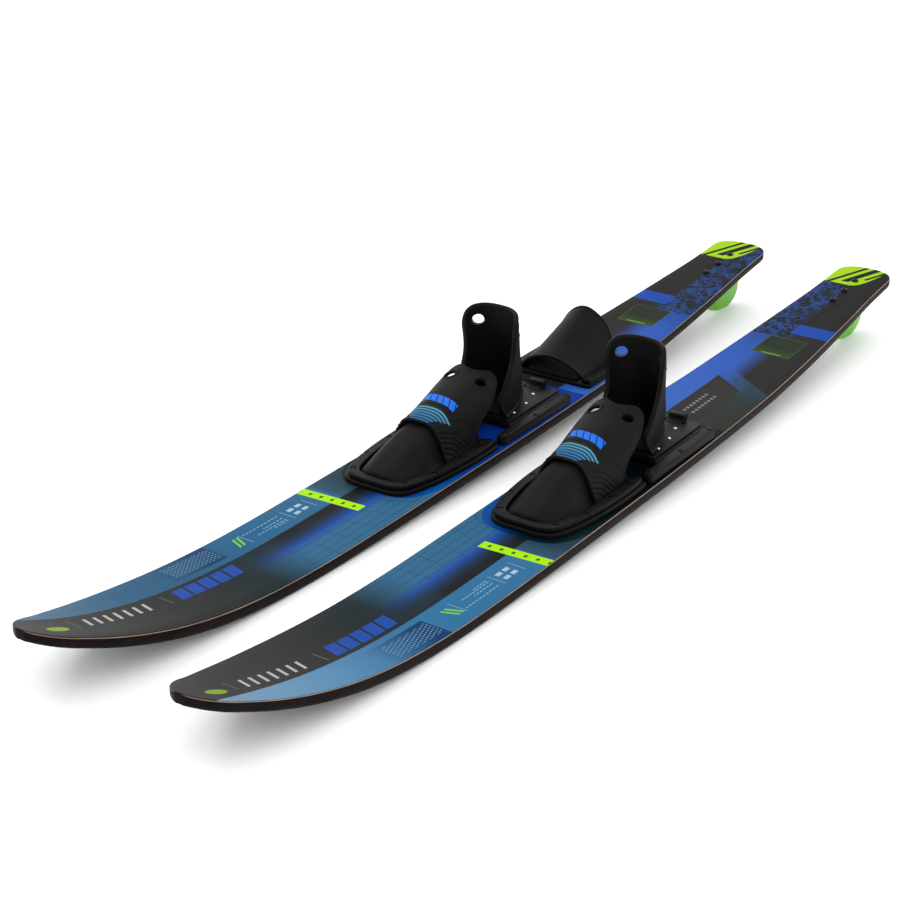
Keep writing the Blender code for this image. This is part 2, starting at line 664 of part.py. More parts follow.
def rear_toe_piece(side, frame):
    """Base plate, pad, hood, clamps and clamp screws of the rear toe piece."""
    half = [(0.060, REAR_PLATE_FRONT), (0.069, REAR_PLATE_FRONT + 0.007), (0.069, REAR_PLATE_REAR - 0.007),
            (0.060, REAR_PLATE_REAR)]
    plate = prism(side + "_rear_toe_plate", outline_points(half), GAP, REAR_PLATE_TOP, "nylon", frame)
    soften(plate, EDGE_WIDTH, angle=MOULD_ANGLE)
    pad = outline_points([(0.036, 1.076), (0.044, 1.084), (0.044, 1.152), (0.036, 1.160)])
    prism(side + "_rear_toe_pad", pad, REAR_PLATE_TOP + GAP, REAR_PAD_TOP, "foam", frame)
    rows = 9
    columns = 17
    grid = []
    for i in range(rows):
        row = []
        for k in range(columns):
            part = -1 + 2 * k / (columns - 1)
            front = curve(HOOD_FRONT, abs(part))
            s = front + (curve(HOOD_REAR, abs(part)) - front) * i / (rows - 1)
            x, up = arch(HOOD_HALF_WIDTH, curve(HOOD_HEIGHT, s), 1.7, part)
            row.append((x, along(s), REAR_PLATE_TOP + GAP + up))
        grid.append(row)
    shell(side + "_rear_toe_hood", grid, RUBBER, "rubber", frame, flat_columns=(0, -1))
    for number, sign in enumerate((1, -1), 1):
        near, far = sorted((sign * REAR_CLAMP_INNER, sign * REAR_CLAMP_OUTER))
        front = along(REAR_PLATE_FRONT + REAR_CLAMP_INSET)
        rear = along(REAR_PLATE_REAR - REAR_CLAMP_INSET)
        outline = [(near, front), (far, front), (far, rear), (near, rear)]
        clamp = prism(f"{side}_rear_toe_clamp_{number}", outline, REAR_PLATE_TOP + GAP, REAR_CLAMP_TOP,
                      "nylon", frame)
        soften(clamp, EDGE_WIDTH, angle=MOULD_ANGLE)
        for k, station in enumerate(REAR_SCREW_STATIONS):
            place = Vector(((near + far) / 2, along(station), REAR_CLAMP_TOP + GAP))
            cut(clamp, screw_hole(f"{side}_rear_toe_hole_{number}_{k}", place, REAR_SCREW_LENGTH, frame))
            screw(f"{side}_rear_toe_screw_{2 * (number - 1) + k + 1}", SCREW_HEAD_HEIGHT, REAR_SCREW_LENGTH,
                  "black_screw", frame, place)


# ---- assembly ------------------------------------------------------------------------------
def rest_pitch():
    """Angle that levels the line between the running surface and the fin's lowest point."""
    fin_tip = (along(1.645), -FIN_DEPTH)
    slopes = []
    for station in ski_stations():
        if station < 1.0:
            low = deck_height(station) - SHEET_THICKNESS - GAP - core_thickness(station)
            slopes.append((fin_tip[1] - low) / (fin_tip[0] - along(station)))
    return -math.atan(max(slopes))


def empty(name, parent, place):
    """An empty that other pieces hang from."""
    made = bpy.data.objects.new(name, None)
    bpy.context.collection.objects.link(made)
    made.parent = parent
    made.location = place
    return made


def ski_frame(side, across):
    """The empty that pitches one ski and puts it beside the other."""
    frame = empty(side + "_frame", None, (across, 0, 0))
    frame.rotation_euler = (rest_pitch(), 0, 0)
    return frame


def binding(side, frame):
    """Toe and heel bindings of one ski."""
    toe_plate(side, frame)
    toe_frame(side, frame)
    toe_cover(side, frame)
    instep_wrap(side, frame)
    footbed(side, frame)
    rail(side, 1, 1, frame)
    rail(side, 2, -1, frame)
    index_strip(side, frame)
    heel_plate(side, frame)
    heel_cup(side, frame)
    heel_pad(side, frame)
    latch(side, frame)


def settle(frames):
    """Moves the pair so that it stands on Z = 0 and its box is centred on the origin."""
    bpy.context.view_layer.update()
    corners = []
    for item in bpy.data.objects:
        if item.type == "MESH" and not item.hide_render:
            corners += [item.matrix_world @ v.co for v in item.data.vertices]
    low = [min(c[k] for c in corners) for k in range(3)]
    high = [max(c[k] for c in corners) for k in range(3)]
    for frame in frames:
        frame.location.y -= (low[1] + high[1]) / 2
        frame.location.z -= low[2]


def main():
    clear_scene()
    frames = []
    skis = (("left", SKI_SPACING / 2, 0.0), ("right", -SKI_SPACING / 2, RIGHT_BINDING_SHIFT))
    for side, across, shift in skis:
        frame = ski_frame(side, across)
        frames.append(frame)
        ski(side, frame)
        binding(side, empty(side + "_binding", frame, (0, shift, 0)))
    rear_toe_piece("right", empty("rear_toe_binding", frames[1], (0, REAR_TOE_SHIFT, 0)))
    settle(frames)


main()
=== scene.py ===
"""Looks of the water ski pair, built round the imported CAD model.

Each ski has its own frame, as in the CAD model: X across, Y along with the tip towards -Y, Z up from
the flat stretch of the deck.  Stations are distances from the tip.  All sizes are in metres.
"""
import json
import math

import bmesh
import bpy
import numpy as np
from mathutils import Matrix, Vector


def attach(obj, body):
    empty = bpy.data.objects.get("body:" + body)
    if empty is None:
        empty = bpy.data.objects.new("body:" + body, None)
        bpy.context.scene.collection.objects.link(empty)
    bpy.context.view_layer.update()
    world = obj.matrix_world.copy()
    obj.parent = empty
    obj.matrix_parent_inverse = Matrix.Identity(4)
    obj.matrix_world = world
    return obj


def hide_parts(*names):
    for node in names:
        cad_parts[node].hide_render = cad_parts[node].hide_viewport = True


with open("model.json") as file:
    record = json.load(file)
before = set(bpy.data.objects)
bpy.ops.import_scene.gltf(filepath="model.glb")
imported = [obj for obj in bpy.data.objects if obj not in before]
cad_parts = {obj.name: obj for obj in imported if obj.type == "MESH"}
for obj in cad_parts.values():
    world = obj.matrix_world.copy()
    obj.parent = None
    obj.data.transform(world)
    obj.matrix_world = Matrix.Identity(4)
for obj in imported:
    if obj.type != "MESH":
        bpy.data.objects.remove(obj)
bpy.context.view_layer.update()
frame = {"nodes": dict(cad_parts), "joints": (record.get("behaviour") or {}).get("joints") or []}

# ---- dimensions of the CAD model -------------------------------------------------------------
SKI_LENGTH = 1.702
GAP = 0.0003
TIP_RISE = 0.094
TIP_CURVE_END = 0.585
TAIL_RISE = 0.0295
TAIL_CURVE_START = 1.17
CORE_THICKNESS = 0.0168
TIP_THINNING = 0.0035
TAIL_THINNING = 0.003
SHEET_THICKNESS = 0.0008
SHEET_INSET = 0.0009
TUNNEL_DEPTH = 0.003
NOSE_LENGTH = 0.05
TAIL_ROUND = 0.034
FIRST_STATION = 0.0008
SIDECUT = [(0.0, 0.0345), (0.05, 0.0415), (0.08, 0.0500), (0.11, 0.0570), (0.15, 0.0642), (0.20, 0.0706),
           (0.26, 0.0747), (0.35, 0.0768), (0.5, 0.0778), (0.7, 0.0781), (0.9, 0.0775), (1.1, 0.0736),
           (1.3, 0.0660), (1.5, 0.0546), (1.6, 0.0485), (1.702, 0.0460)]
RIGHT_BINDING_SHIFT = -0.010
REAR_TOE_SHIFT = 0.004

FIN_THICKNESS = 0.006
FIN_DEPTH = 0.066
FIN_FRONT = 1.545
FIN_REAR = 1.670
FIN_LOW_EDGE = [(1.676, -0.040), (1.671, -0.052), (1.660, -0.061), (1.645, -FIN_DEPTH), (1.625, -0.0655),
                (1.600, -0.0615), (1.575, -0.052), (1.558, -0.038)]
FIN_SCREW_STATIONS = (1.563, 1.604, 1.645)

TOE_PLATE_TOP = 0.007
TOE_FRAME_TOP = 0.014
FOOTBED_TOP = 0.0105
RUBBER = 0.004
TOE_PLATE = [(0.023, 0.6372), (0.040, 0.641), (0.0515, 0.651), (0.0585, 0.669), (0.0655, 0.701),
             (0.070, 0.740), (0.0725, 0.785), (0.072, 0.834), (0.069, 0.843), (0.062, 0.8455)]
TOE_OUTER = [(0.0, 0.640), (0.022, 0.6408), (0.038, 0.6445), (0.048, 0.653), (0.055, 0.670), (0.062, 0.702),
             (0.0665, 0.740), (0.069, 0.785), (0.0685, 0.826), (0.066, 0.836), (0.0605, 0.8395)]
TOE_INNER = [(0.054, 0.836), (0.0530, 0.826), (0.0530, 0.760), (0.0515, 0.730), (0.0455, 0.694),
             (0.0385, 0.668), (0.031, 0.6575), (0.018, 0.6535), (0.0, 0.6530)]
FOOTBED = [(0.010, 0.668), (0.020, 0.673), (0.026, 0.686), (0.031, 0.710), (0.032, 0.740), (0.034, 0.80),
           (0.034, 0.840)]
FRAME_SCREWS = [(0.043, 0.659), (0.0585, 0.706), (0.061, 0.765), (0.061, 0.811), (0.0595, 0.832)]

COVER_RIDGE = [(0.6540, 0.0), (0.6545, 0.008), (0.6575, 0.0125), (0.6645, 0.0165), (0.680, 0.023),
               (0.703, 0.032), (0.725, 0.0405), (0.745, 0.0455), (0.765, 0.0465)]
COVER_FEET = [(0.0330, 0.6620), (0.0350, 0.6650), (0.0375, 0.6700), (0.0405, 0.6790), (0.0445, 0.6950),
              (0.0470, 0.7170), (0.0455, 0.7350), (0.0445, 0.7480), (0.0435, 0.7650)]
COVER_BOXY = [1.0, 0.9, 0.7, 0.5, 0.3, 0.15, 0.0, 0.0, 0.0]

WRAP_FRONT = 0.748
WRAP_REAR = [(0.0, 0.8835), (0.05, 0.8840), (0.12, 0.8872), (0.20, 0.891), (0.30, 0.889), (0.38, 0.883),
             (0.46, 0.872), (0.55, 0.860), (0.64, 0.840), (0.76, 0.824), (0.88, 0.822), (1.0, 0.830)]
WRAP_HEIGHT = [(0.748, 0.053), (0.785, 0.062), (0.811, 0.068), (0.842, 0.074), (0.870, 0.079), (0.890, 0.083)]
WRAP_BOXY = [(0.748, 0.0), (0.785, 0.4), (0.811, 0.75), (0.842, 1.0)]
WRAP_POWER = [(0.80, 2.4), (0.842, 2.9), (0.87, 3.5)]
WRAP_HALF_WIDTH = 0.0522
FINGER_HOLE = (0.0265, 0.864)
FINGER_RADIUS = 0.0085

RAIL_START = 0.850
RAIL_END = 1.031
RAIL_X = 0.066
RAIL_HALF_WIDTH = 0.0075
RAIL_TOP = 0.014
RAIL_SCREW_STATIONS = (0.859, 0.9415, 1.024)
RAIL_SCREW_OFFSET = 0.0012
GROOVE_BOTTOM = 0.0038
GROOVE_TOP = 0.0088
GROOVE_DEPTH = 0.005
GROOVE_STOP = 0.020
HEEL_PLATE_TOP = 0.014
HEEL_PAD_TOP = 0.0175
HEEL_PAD = [(0.029, 0.910), (0.026, 0.926), (0.0210, 0.945), (0.0155, 0.962), (0.008, 0.978)]
PLATE_SCREWS = [(0.0385, 0.9285), (0.0345, 0.9655), (0.0255, 0.9990)]

CUP_WALL = 0.006
CUP_BASE = HEEL_PLATE_TOP + GAP
CUP_TOP = [(0.0, 0.164), (0.35, 0.164), (0.6, 0.162), (0.75, 0.158), (0.85, 0.153), (0.93, 0.145),
           (1.0, 0.132)]
CUP_FRONT = [(0.014, 0.907), (0.03, 0.893), (0.045, 0.889), (0.06, 0.902), (0.09, 0.918), (0.115, 0.922),
             (0.14, 0.920), (0.165, 0.915)]
CUP_REAR = [(0.014, 1.006), (0.05, 0.993), (0.09, 0.974), (0.13, 0.960), (0.165, 0.953)]
CUP_WIDTH = [(0.014, 0.040), (0.03, 0.0415), (0.06, 0.041), (0.10, 0.0425), (0.135, 0.0455), (0.165, 0.046)]
CUP_POWER = [(0.014, 1.3), (0.03, 1.55), (0.05, 1.95), (0.08, 2.1)]
CUP_HOLE = (0.0335, 0.138)

REAR_PLATE_FRONT = 1.070
REAR_PLATE_REAR = 1.166
REAR_PLATE_TOP = 0.006
REAR_PLATE_HALF_WIDTH = 0.069
REAR_PAD_HALF_WIDTH = 0.044
REAR_PAD_FRONT = 1.076
REAR_PAD_REAR = 1.160
REAR_PAD_TOP = 0.0095
REAR_CLAMP_TOP = 0.013
REAR_CLAMP_INNER = 0.055
REAR_CLAMP_OUTER = 0.068
REAR_CLAMP_INSET = 0.004
REAR_SCREW_STATIONS = (1.081, 1.140)
HOOD_FRONT = [(0.0, 1.068), (0.5, 1.070), (1.0, 1.078)]
HOOD_REAR = [(0.0, 1.171), (0.2, 1.173), (0.5, 1.176), (0.75, 1.170), (1.0, 1.158)]
HOOD_HEIGHT = [(1.065, 0.031), (1.10, 0.044), (1.14, 0.064), (1.18, 0.084)]
HOOD_HALF_WIDTH = 0.0545
HOOD_POWER = 1.7

# ---- details of the looks --------------------------------------------------------------------
FLOOR_GAP = 0.0004
WELD = 2e-6
RUBBER_FOOT = TOE_PLATE_TOP + 0.0002
FULL_TUNNEL_WIDTH = 0.05
TIP_THINNING_END = 0.35
TAIL_THINNING_START = 1.4
# Edge radii of the moulded pieces.
PLATE_EDGE = 0.0016
CLAMP_EDGE = 0.0018
RAIL_EDGE = 0.0022
FOOT_PAD_EDGE = 0.0012
PAD_EDGE = 0.0011
REAR_PLATE_EDGE = 0.0014
FIN_EDGE = 0.0018
# Corner radii of the rectangular pieces.
REAR_PLATE_CORNER = 0.008
REAR_CLAMP_CORNER = 0.004
RAIL_CORNER = 0.0062
# Radius and height of each screw's head, and depth and radius of the recesses.
FIN_SCREW = (0.0055, 0.0034)
CLAMP_SCREW = (0.0033, 0.0021)
RAIL_SCREW = (0.0036, 0.0024)
PLATE_SCREW = (0.0026, 0.0014)
REAR_SCREW = (0.0035, 0.0023)
CLAMP_RECESS = (0.0024, 0.0042)
RAIL_RECESS = (0.0012, 0.0044)
REAR_RECESS = (0.0014, 0.0042)
RECESS_SIDES = 28
RECESS_REACH = 0.004
SCREW_SEAT = 0.0001
SCREW_PROFILE = [(1.0, 0.0), (1.0, 0.18), (0.94, 0.5), (0.78, 0.8), (0.55, 1.0)]
SOCKET_SIZE = 0.40
SOCKET_PROFILE = [(1.08, 0.97), (1.0, 0.86), (1.0, 0.25), (0.3, 0.12)]
PRINT_CONTRAST = 1.25
PRINT_DARKENING = 0.36
MARKS_AHEAD = {"left": 0.0, "right": 0.008}
MARKS_AHEAD_RISE = (0.20, 0.42)
CHEVRONS = [
    [(0.748, 0.0490), (0.780, 0.0380), (0.799, 0.0140)],
    [(0.748, 0.0425), (0.774, 0.0330), (0.791, 0.0130)],
    [(0.748, 0.0355), (0.772, 0.0265), (0.785, 0.0120)],
    [(0.748, 0.0280), (0.767, 0.0205), (0.776, 0.0110)],
    [(0.748, 0.0205), (0.762, 0.0150), (0.767, 0.0100)],
]
PANEL_EDGE = [(0.7505, 0.0600), (0.777, 0.0555), (0.796, 0.0507), (0.824, 0.0140)]
# Printed blue band along each tip's outer edge, as (station, colour) stops, with a painted reflection that
# lightens it towards the up-turned tip and painted light that makes the left ski's copy lighter than the
# right's.
OUTER_BAND_AND_SHEEN = {
    "left": [(0.0, "8ba5bc"), (0.10, "7fa6c2"), (0.20, "6c9dc0"), (0.30, "5288ae"), (0.40, "4085ac"),
             (0.598, "4a83aa"), (0.602, "44687f"), (0.64, "385362")],
    "right": [(0.0, "5f7f98"), (0.10, "537d98"), (0.20, "3d7192"), (0.30, "38708f"), (0.40, "35759a"),
              (0.598, "457da2"), (0.602, "44687f"), (0.64, "385362")],
}
CAMERA_PLACE = (1.36674, -2.1741, 1.15096)
CAMERA_TURN = (66.3467, -0.749, 34.8952)
CAMERA_LENS = 80.4753
CAMERA_SHIFT = (-0.003278, 0.003765)
SKY_STRENGTH = 1.5
FLOOR_SIZE = 14.0


# ---- numbers and curves ----------------------------------------------------------------------
def along(station):
    """Y in the ski's frame of a distance from the tip."""
    return station - SKI_LENGTH / 2


def curve(points, at):
    """Smooth interpolation through (position, value) points, flat beyond the ends."""
    xs, ys = np.array(points, dtype=float).T
    slopes = np.empty_like(ys)
    slopes[1:-1] = (ys[2:] - ys[:-2]) / (xs[2:] - xs[:-2])
    slopes[0] = (ys[1] - ys[0]) / (xs[1] - xs[0])
    slopes[-1] = (ys[-1] - ys[-2]) / (xs[-1] - xs[-2])
    at = np.clip(at, xs[0], xs[-1])
    k = np.clip(np.searchsorted(xs, at, side="right") - 1, 0, len(xs) - 2)
    span = xs[k + 1] - xs[k]
    t = (at - xs[k]) / span
    start = (2 * t ** 3 - 3 * t ** 2 + 1) * ys[k] + (t ** 3 - 2 * t ** 2 + t) * span * slopes[k]
    return start + (3 * t ** 2 - 2 * t ** 3) * ys[k + 1] + (t ** 3 - t ** 2) * span * slopes[k + 1]


def spaced(length, step, edge=0.0022, turns=5):
    """Fractions from 0 to 1 of a length, a step apart and closer near both ends."""
    near = edge * (1 - np.cos(np.arange(turns) * math.pi / (2 * turns)))
    middle = np.linspace(edge, length - edge, max(3, int((length - 2 * edge) / step)))
    return np.concatenate([near, middle, length - near[::-1]]) / length


def at_length(across, up, fraction):
    """The point at a fraction of each curve's length; each row of across and up is one curve."""
    steps = np.hypot(np.diff(across), np.diff(up))
    lengths = np.concatenate([np.zeros((len(steps), 1)), np.cumsum(steps, axis=1)], axis=1)
    target = np.abs(fraction) * lengths[:, -1]
    k = np.clip((lengths < target[:, None]).sum(axis=1) - 1, 0, lengths.shape[1] - 2)
    row = np.arange(len(k))
    part = (target - lengths[row, k]) / np.maximum(lengths[row, k + 1] - lengths[row, k], 1e-9)
    x = across[row, k] + part * (across[row, k + 1] - across[row, k])
    z = up[row, k] + part * (up[row, k + 1] - up[row, k])
    return np.sign(fraction) * x, z


def arch(width, height, power, fraction):
    """A superellipse arch: 0 is its crown, 1 and -1 are its two feet."""
    grids = np.broadcast_arrays(width, height, power, fraction)
    width, height, power, fraction = (np.ravel(v) for v in grids)
    angles = np.linspace(0, math.pi / 2, 160)
    swing = 2 / power[:, None]
    across = width[:, None] * np.sin(angles) ** swing
    up = height[:, None] * np.cos(angles) ** swing
    return at_length(across, up, fraction)


def bell(width, height, fraction):
    """A bell-shaped arch with flared feet: 0 is its crown, 1 and -1 are its two feet."""
    width, height, fraction = (np.ravel(v) for v in np.broadcast_arrays(width, height, fraction))
    run = np.linspace(0, 1, 160)
    return at_length(width[:, None] * run, height[:, None] * (1 - run ** 4) ** 2, fraction)


def mixed_arch(width, height, power, boxy, fraction):
    """Between a bell (boxy 0) and a superellipse (boxy 1), on a grid of any shape."""
    shape = np.broadcast(width, height, power, boxy, fraction).shape
    boxy = np.ravel(np.broadcast_to(boxy, shape))
    bell_x, bell_up = bell(width, height, np.broadcast_to(fraction, shape))
    box_x, box_up = arch(width, height, power, np.broadcast_to(fraction, shape))
    x = bell_x + boxy * (box_x - bell_x)
    up = bell_up + boxy * (box_up - bell_up)
    return x.reshape(shape), up.reshape(shape)


def line_distance(a, b, points):
    """Distance of each (a, b) from a bent line."""
    best = np.full(np.shape(a), 1e9)
    for (a0, b0), (a1, b1) in zip(points, points[1:]):
        da = a1 - a0
        db = b1 - b0
        t = np.clip(((a - a0) * da + (b - b0) * db) / (da * da + db * db), 0, 1)
        best = np.minimum(best, np.hypot(a - a0 - t * da, b - b0 - t * db))
    return best


def away(points, other):
    """Distance of each point from another point or row of points."""
    return np.linalg.norm(points - other, axis=-1)


def ridge(distance, width, height):
    """A soft raised line of a height, or a groove where the height is below zero."""
    return height * np.exp(-(distance / width) ** 2)


def rounded_loop(points, count):
    """A smooth closed outline through its points that stays within their box, count steps to a point."""
    loop = np.array(points, dtype=float)
    wrap = np.vstack([loop[-3:], loop, loop[:4]])
    run = np.concatenate([[0], np.cumsum(np.linalg.norm(np.diff(wrap, axis=0), axis=1))])
    at = [run[k] + (run[k + 1] - run[k]) * np.arange(count) / count for k in range(3, 3 + len(loop))]
    smooth = [curve(list(zip(run, values)), np.concatenate(at)) for values in wrap.T]
    return np.clip(np.column_stack(smooth), loop.min(axis=0), loop.max(axis=0))


def mirrored(half, count):
    """A smooth closed outline in the ski's frame from its half at +X, given as (across, station)."""
    placed = [(x, along(s)) for x, s in half]
    return rounded_loop(placed + [(-x, y) for x, y in reversed(placed) if x > 0], count)


def box_outline(low, high, corner, steps=5):
    """A rectangle with round corners."""
    outline = []
    centres = [(high[0] - corner, high[1] - corner), (low[0] + corner, high[1] - corner),
               (low[0] + corner, low[1] + corner), (high[0] - corner, low[1] + corner)]
    for quarter, (cx, cy) in enumerate(centres):
        for k in range(steps + 1):
            angle = math.pi / 2 * (quarter + k / steps)
            outline.append((cx + corner * math.cos(angle), cy + corner * math.sin(angle)))
    return outline


# ---- node materials --------------------------------------------------------------------------
def colour(code):
    """A linear colour with alpha from six hexadecimal digits."""
    parts = [int(code[k:k + 2], 16) / 255 for k in (0, 2, 4)]
    return tuple(((c + 0.055) / 1.055) ** 2.4 if c > 0.04045 else c / 12.92 for c in parts) + (1.0,)


class Field:
    """A number that varies over a surface: a node's output with ordinary arithmetic."""

    def __init__(self, look, socket):
        self.look = look
        self.socket = socket

    def math(self, operation, *others):
        """The result of a Math node."""
        made = self.look.node("Math", operation=operation)
        for k, value in enumerate((self, *others)):
            self.look.feed(made.inputs[k], value)
        return Field(self.look, made.outputs[0])

    def __add__(self, other):
        return self.math("ADD", other)

    def __sub__(self, other):
        return self.math("SUBTRACT", other)

    def __mul__(self, other):
        return self.math("MULTIPLY", other)

    def __truediv__(self, other):
        return self.math("DIVIDE", other)

    def __abs__(self):
        return self.math("ABSOLUTE")

    def rise(self, low, high):
        """0 below low, 1 above high, and straight between them."""
        made = self.look.node("MapRange")
        for name, value in (("Value", self), ("From Min", low), ("From Max", high)):
            self.look.feed(made.inputs[name], value)
        return Field(self.look, made.outputs["Result"])

    def above(self, edge, soft=0.0002):
        """1 past an edge and 0 before it."""
        return (self - edge).rise(-soft, soft)

    def below(self, edge, soft=0.0002):
        """1 before an edge and 0 past it."""
        return (self - edge).rise(soft, -soft)

    def between(self, low, high, soft=0.0002):
        """1 from low to high and 0 outside."""
        return self.above(low, soft) * self.below(high, soft)

    def saw(self, pitch):
        """The fraction of the way through each pitch, from 0 to 1."""
        return (self / pitch).math("FRACT")


class Look:
    """One procedural material."""

    def __init__(self, name):
        self.material = bpy.data.materials.new(name)
        self.material.use_nodes = True
        self.tree = self.material.node_tree
        self.shader = self.tree.nodes["Principled BSDF"]

    def node(self, kind, **settings):
        """A new node of this material."""
        made = self.tree.nodes.new("ShaderNode" + kind)
        for name, value in settings.items():
            setattr(made, name, value)
        return made

    def feed(self, socket, value):
        """Links a socket to a node's output, or sets it to a value."""
        if isinstance(value, Field):
            value = value.socket
        if isinstance(value, bpy.types.NodeSocket):
            self.tree.links.new(value, socket)
        else:
            socket.default_value = value

    def set(self, **values):
        """Sets or links the shader's sockets, named with _ for a space."""
        for name, value in values.items():
            self.feed(self.shader.inputs[name.replace("_", " ")], value)

    def contrast(self, paint, power):
        """A colour raised to a power: its dark parts get darker."""
        made = self.node("Gamma")
        self.feed(made.inputs["Color"], paint)
        self.feed(made.inputs["Gamma"], power)
        return made.outputs[0]

    def place(self, frame_matrix):
        """X, Y and Z in a ski's own frame."""
        turned = self.node("Mapping", vector_type="TEXTURE")
        turned.inputs["Location"].default_value = frame_matrix.translation
        turned.inputs["Rotation"].default_value = frame_matrix.to_euler()
        self.feed(turned.inputs["Vector"], self.node("TexCoord").outputs["Object"])
        split = self.node("SeparateXYZ")
        self.feed(split.inputs[0], turned.outputs[0])
        return [Field(self, output) for output in split.outputs]

    def noise(self, scale, detail=3.0, roughness=0.5, stretch=(1, 1, 1)):
        """Noise from 0 to 1; stretch makes its grain longer along an axis."""
        scaled = self.node("Mapping")
        scaled.inputs["Scale"].default_value = stretch
        self.feed(scaled.inputs["Vector"], self.node("TexCoord").outputs["Object"])
        made = self.node("TexNoise", noise_type="FBM")
        for name, value in (("Vector", scaled.outputs[0]), ("Scale", scale), ("Detail", detail),
                            ("Roughness", roughness)):
            self.feed(made.inputs[name], value)
        return Field(self, made.outputs[0])

    def ramp(self, field, stops):
        """A colour that follows a field through (value, colour) stops."""
        low = stops[0][0]
        high = stops[-1][0]
        made = self.node("ValToRGB")
        self.feed(made.inputs[0], field.rise(low, high))
        marks = made.color_ramp.elements
        while len(marks) < len(stops):
            marks.new(0.5)
        for mark, (value, code) in zip(marks, stops):
            mark.position = (value - low) / (high - low)
            mark.color = colour(code)
        return made.outputs[0]

    def mix(self, first, second, share):
        """Second laid over first where share is 1."""
        made = self.node("Mix", data_type="RGBA")
        self.feed(made.inputs["Factor"], share)
        for socket, value in ((made.inputs[6], first), (made.inputs[7], second)):
            self.feed(socket, colour(value) if isinstance(value, str) else value)
        return made.outputs[2]

    def bump(self, height, distance, strength):
        """A normal that follows a height."""
        made = self.node("Bump")
        for name, value in (("Strength", strength), ("Distance", distance), ("Height", height)):
            self.feed(made.inputs[name], value)
        return made.outputs[0]

    def polygon(self, a, b, corners):
        """1 inside a convex outline of (a, b) corners, given anticlockwise."""
        inside = None
        for (a0, b0), (a1, b1) in zip(corners, corners[1:] + corners[:1]):
            size = math.hypot(a1 - a0, b1 - b0)
            depth = (b - b0) * ((a1 - a0) / size) - (a - a0) * ((b1 - b0) / size)
            inside = depth if inside is None else inside.math("MINIMUM", depth)
        return inside.above(0.0)


def grained(name, dark, light, roughness, grain, depth):
    """Moulded plastic or rubber: slow colour variation, fine grain and uneven gloss."""
    look = Look(name)
    cloud = look.noise(25.0, 4.0, 0.6)
    fine = look.noise(grain, 2.0, 0.6)
    look.set(Base_Color=look.ramp(cloud * 0.7 + fine * 0.3, [(0.3, dark), (0.7, light)]))
    look.set(Roughness=(cloud - 0.5) * 0.18 + (fine - 0.5) * 0.12 + roughness, Specular_IOR_Level=0.06)
    look.set(Normal=look.bump(fine, depth, 0.5))
    return look


# ---- meshes ----------------------------------------------------------------------------------
def added(name, data):
    """A new object in the scene."""
    item = bpy.data.objects.new(name, data)
    bpy.context.scene.collection.objects.link(item)
    return item


def make(name, vertices, faces, look, place, sharp=35):
    """A smooth-shaded mesh object from points and faces."""
    mesh = bpy.data.meshes.new(name)
    mesh.from_pydata([tuple(v) for v in vertices], [], faces)
    build = bmesh.new()
    build.from_mesh(mesh)
    bmesh.ops.remove_doubles(build, verts=build.verts, dist=WELD)
    bmesh.ops.recalc_face_normals(build, faces=build.faces)
    build.to_mesh(mesh)
    build.free()
    mesh.shade_smooth()
    mesh.set_sharp_from_angle(angle=math.radians(sharp))
    mesh.materials.append(look.material)
    item = added(name, mesh)
    item.matrix_world = place
    return item


def copy_of(item, name, look, place):
    """The same shape again in another place and finish."""
    made = added(name, item.data.copy())
    made.data.materials[0] = look.material
    made.matrix_world = place
    return made


def strip_faces(rows, columns, closed):
    """Quads of a grid of points, which may close on itself along its columns."""
    faces = []
    for i in range(rows - 1):
        for j in range(columns if closed else columns - 1):
            a = i * columns + j
            b = i * columns + (j + 1) % columns
            faces.append((a, b, b + columns, a + columns))
    return faces


def loft(name, rings, look, place):
    """A closed solid through closed rings with the same number of points."""
    rings = np.array(rings, dtype=float)
    count = rings.shape[1]
    faces = strip_faces(len(rings), count, True)
    faces.append(tuple(range(count)))
    faces.append(tuple(range((len(rings) - 1) * count, len(rings) * count)))
    return make(name, rings.reshape(-1, 3), faces, look, place)


def slab(name, outline, low, high, look, place, radius, steps=4, sideways=False):
    """A moulded plate: an outline raised from low to high with rounded edges.

    It stands along Z, or along X where it is sideways.
    """
    outline = np.array(outline, dtype=float)
    tangent = np.roll(outline, -1, axis=0) - np.roll(outline, 1, axis=0)
    normal = np.column_stack([tangent[:, 1], -tangent[:, 0]])
    normal /= np.linalg.norm(normal, axis=1, keepdims=True)
    following = np.roll(outline, -1, axis=0)
    normal *= np.sign(np.sum(outline[:, 0] * following[:, 1] - outline[:, 1] * following[:, 0]))
    levels = []
    for k in range(steps + 1):
        angle = math.pi / 2 * k / steps
        levels.append((low + radius * (1 - math.sin(angle)), radius * (1 - math.cos(angle))))
    levels = levels[::-1] + [(low + high - z, inset) for z, inset in levels]
    rings = []
    for level, inset in levels:
        edge = outline - normal * inset
        upright = np.full(len(edge), level)
        rings.append(np.column_stack([upright, edge] if sideways else [edge, upright]))
    return loft(name, rings, look, place)


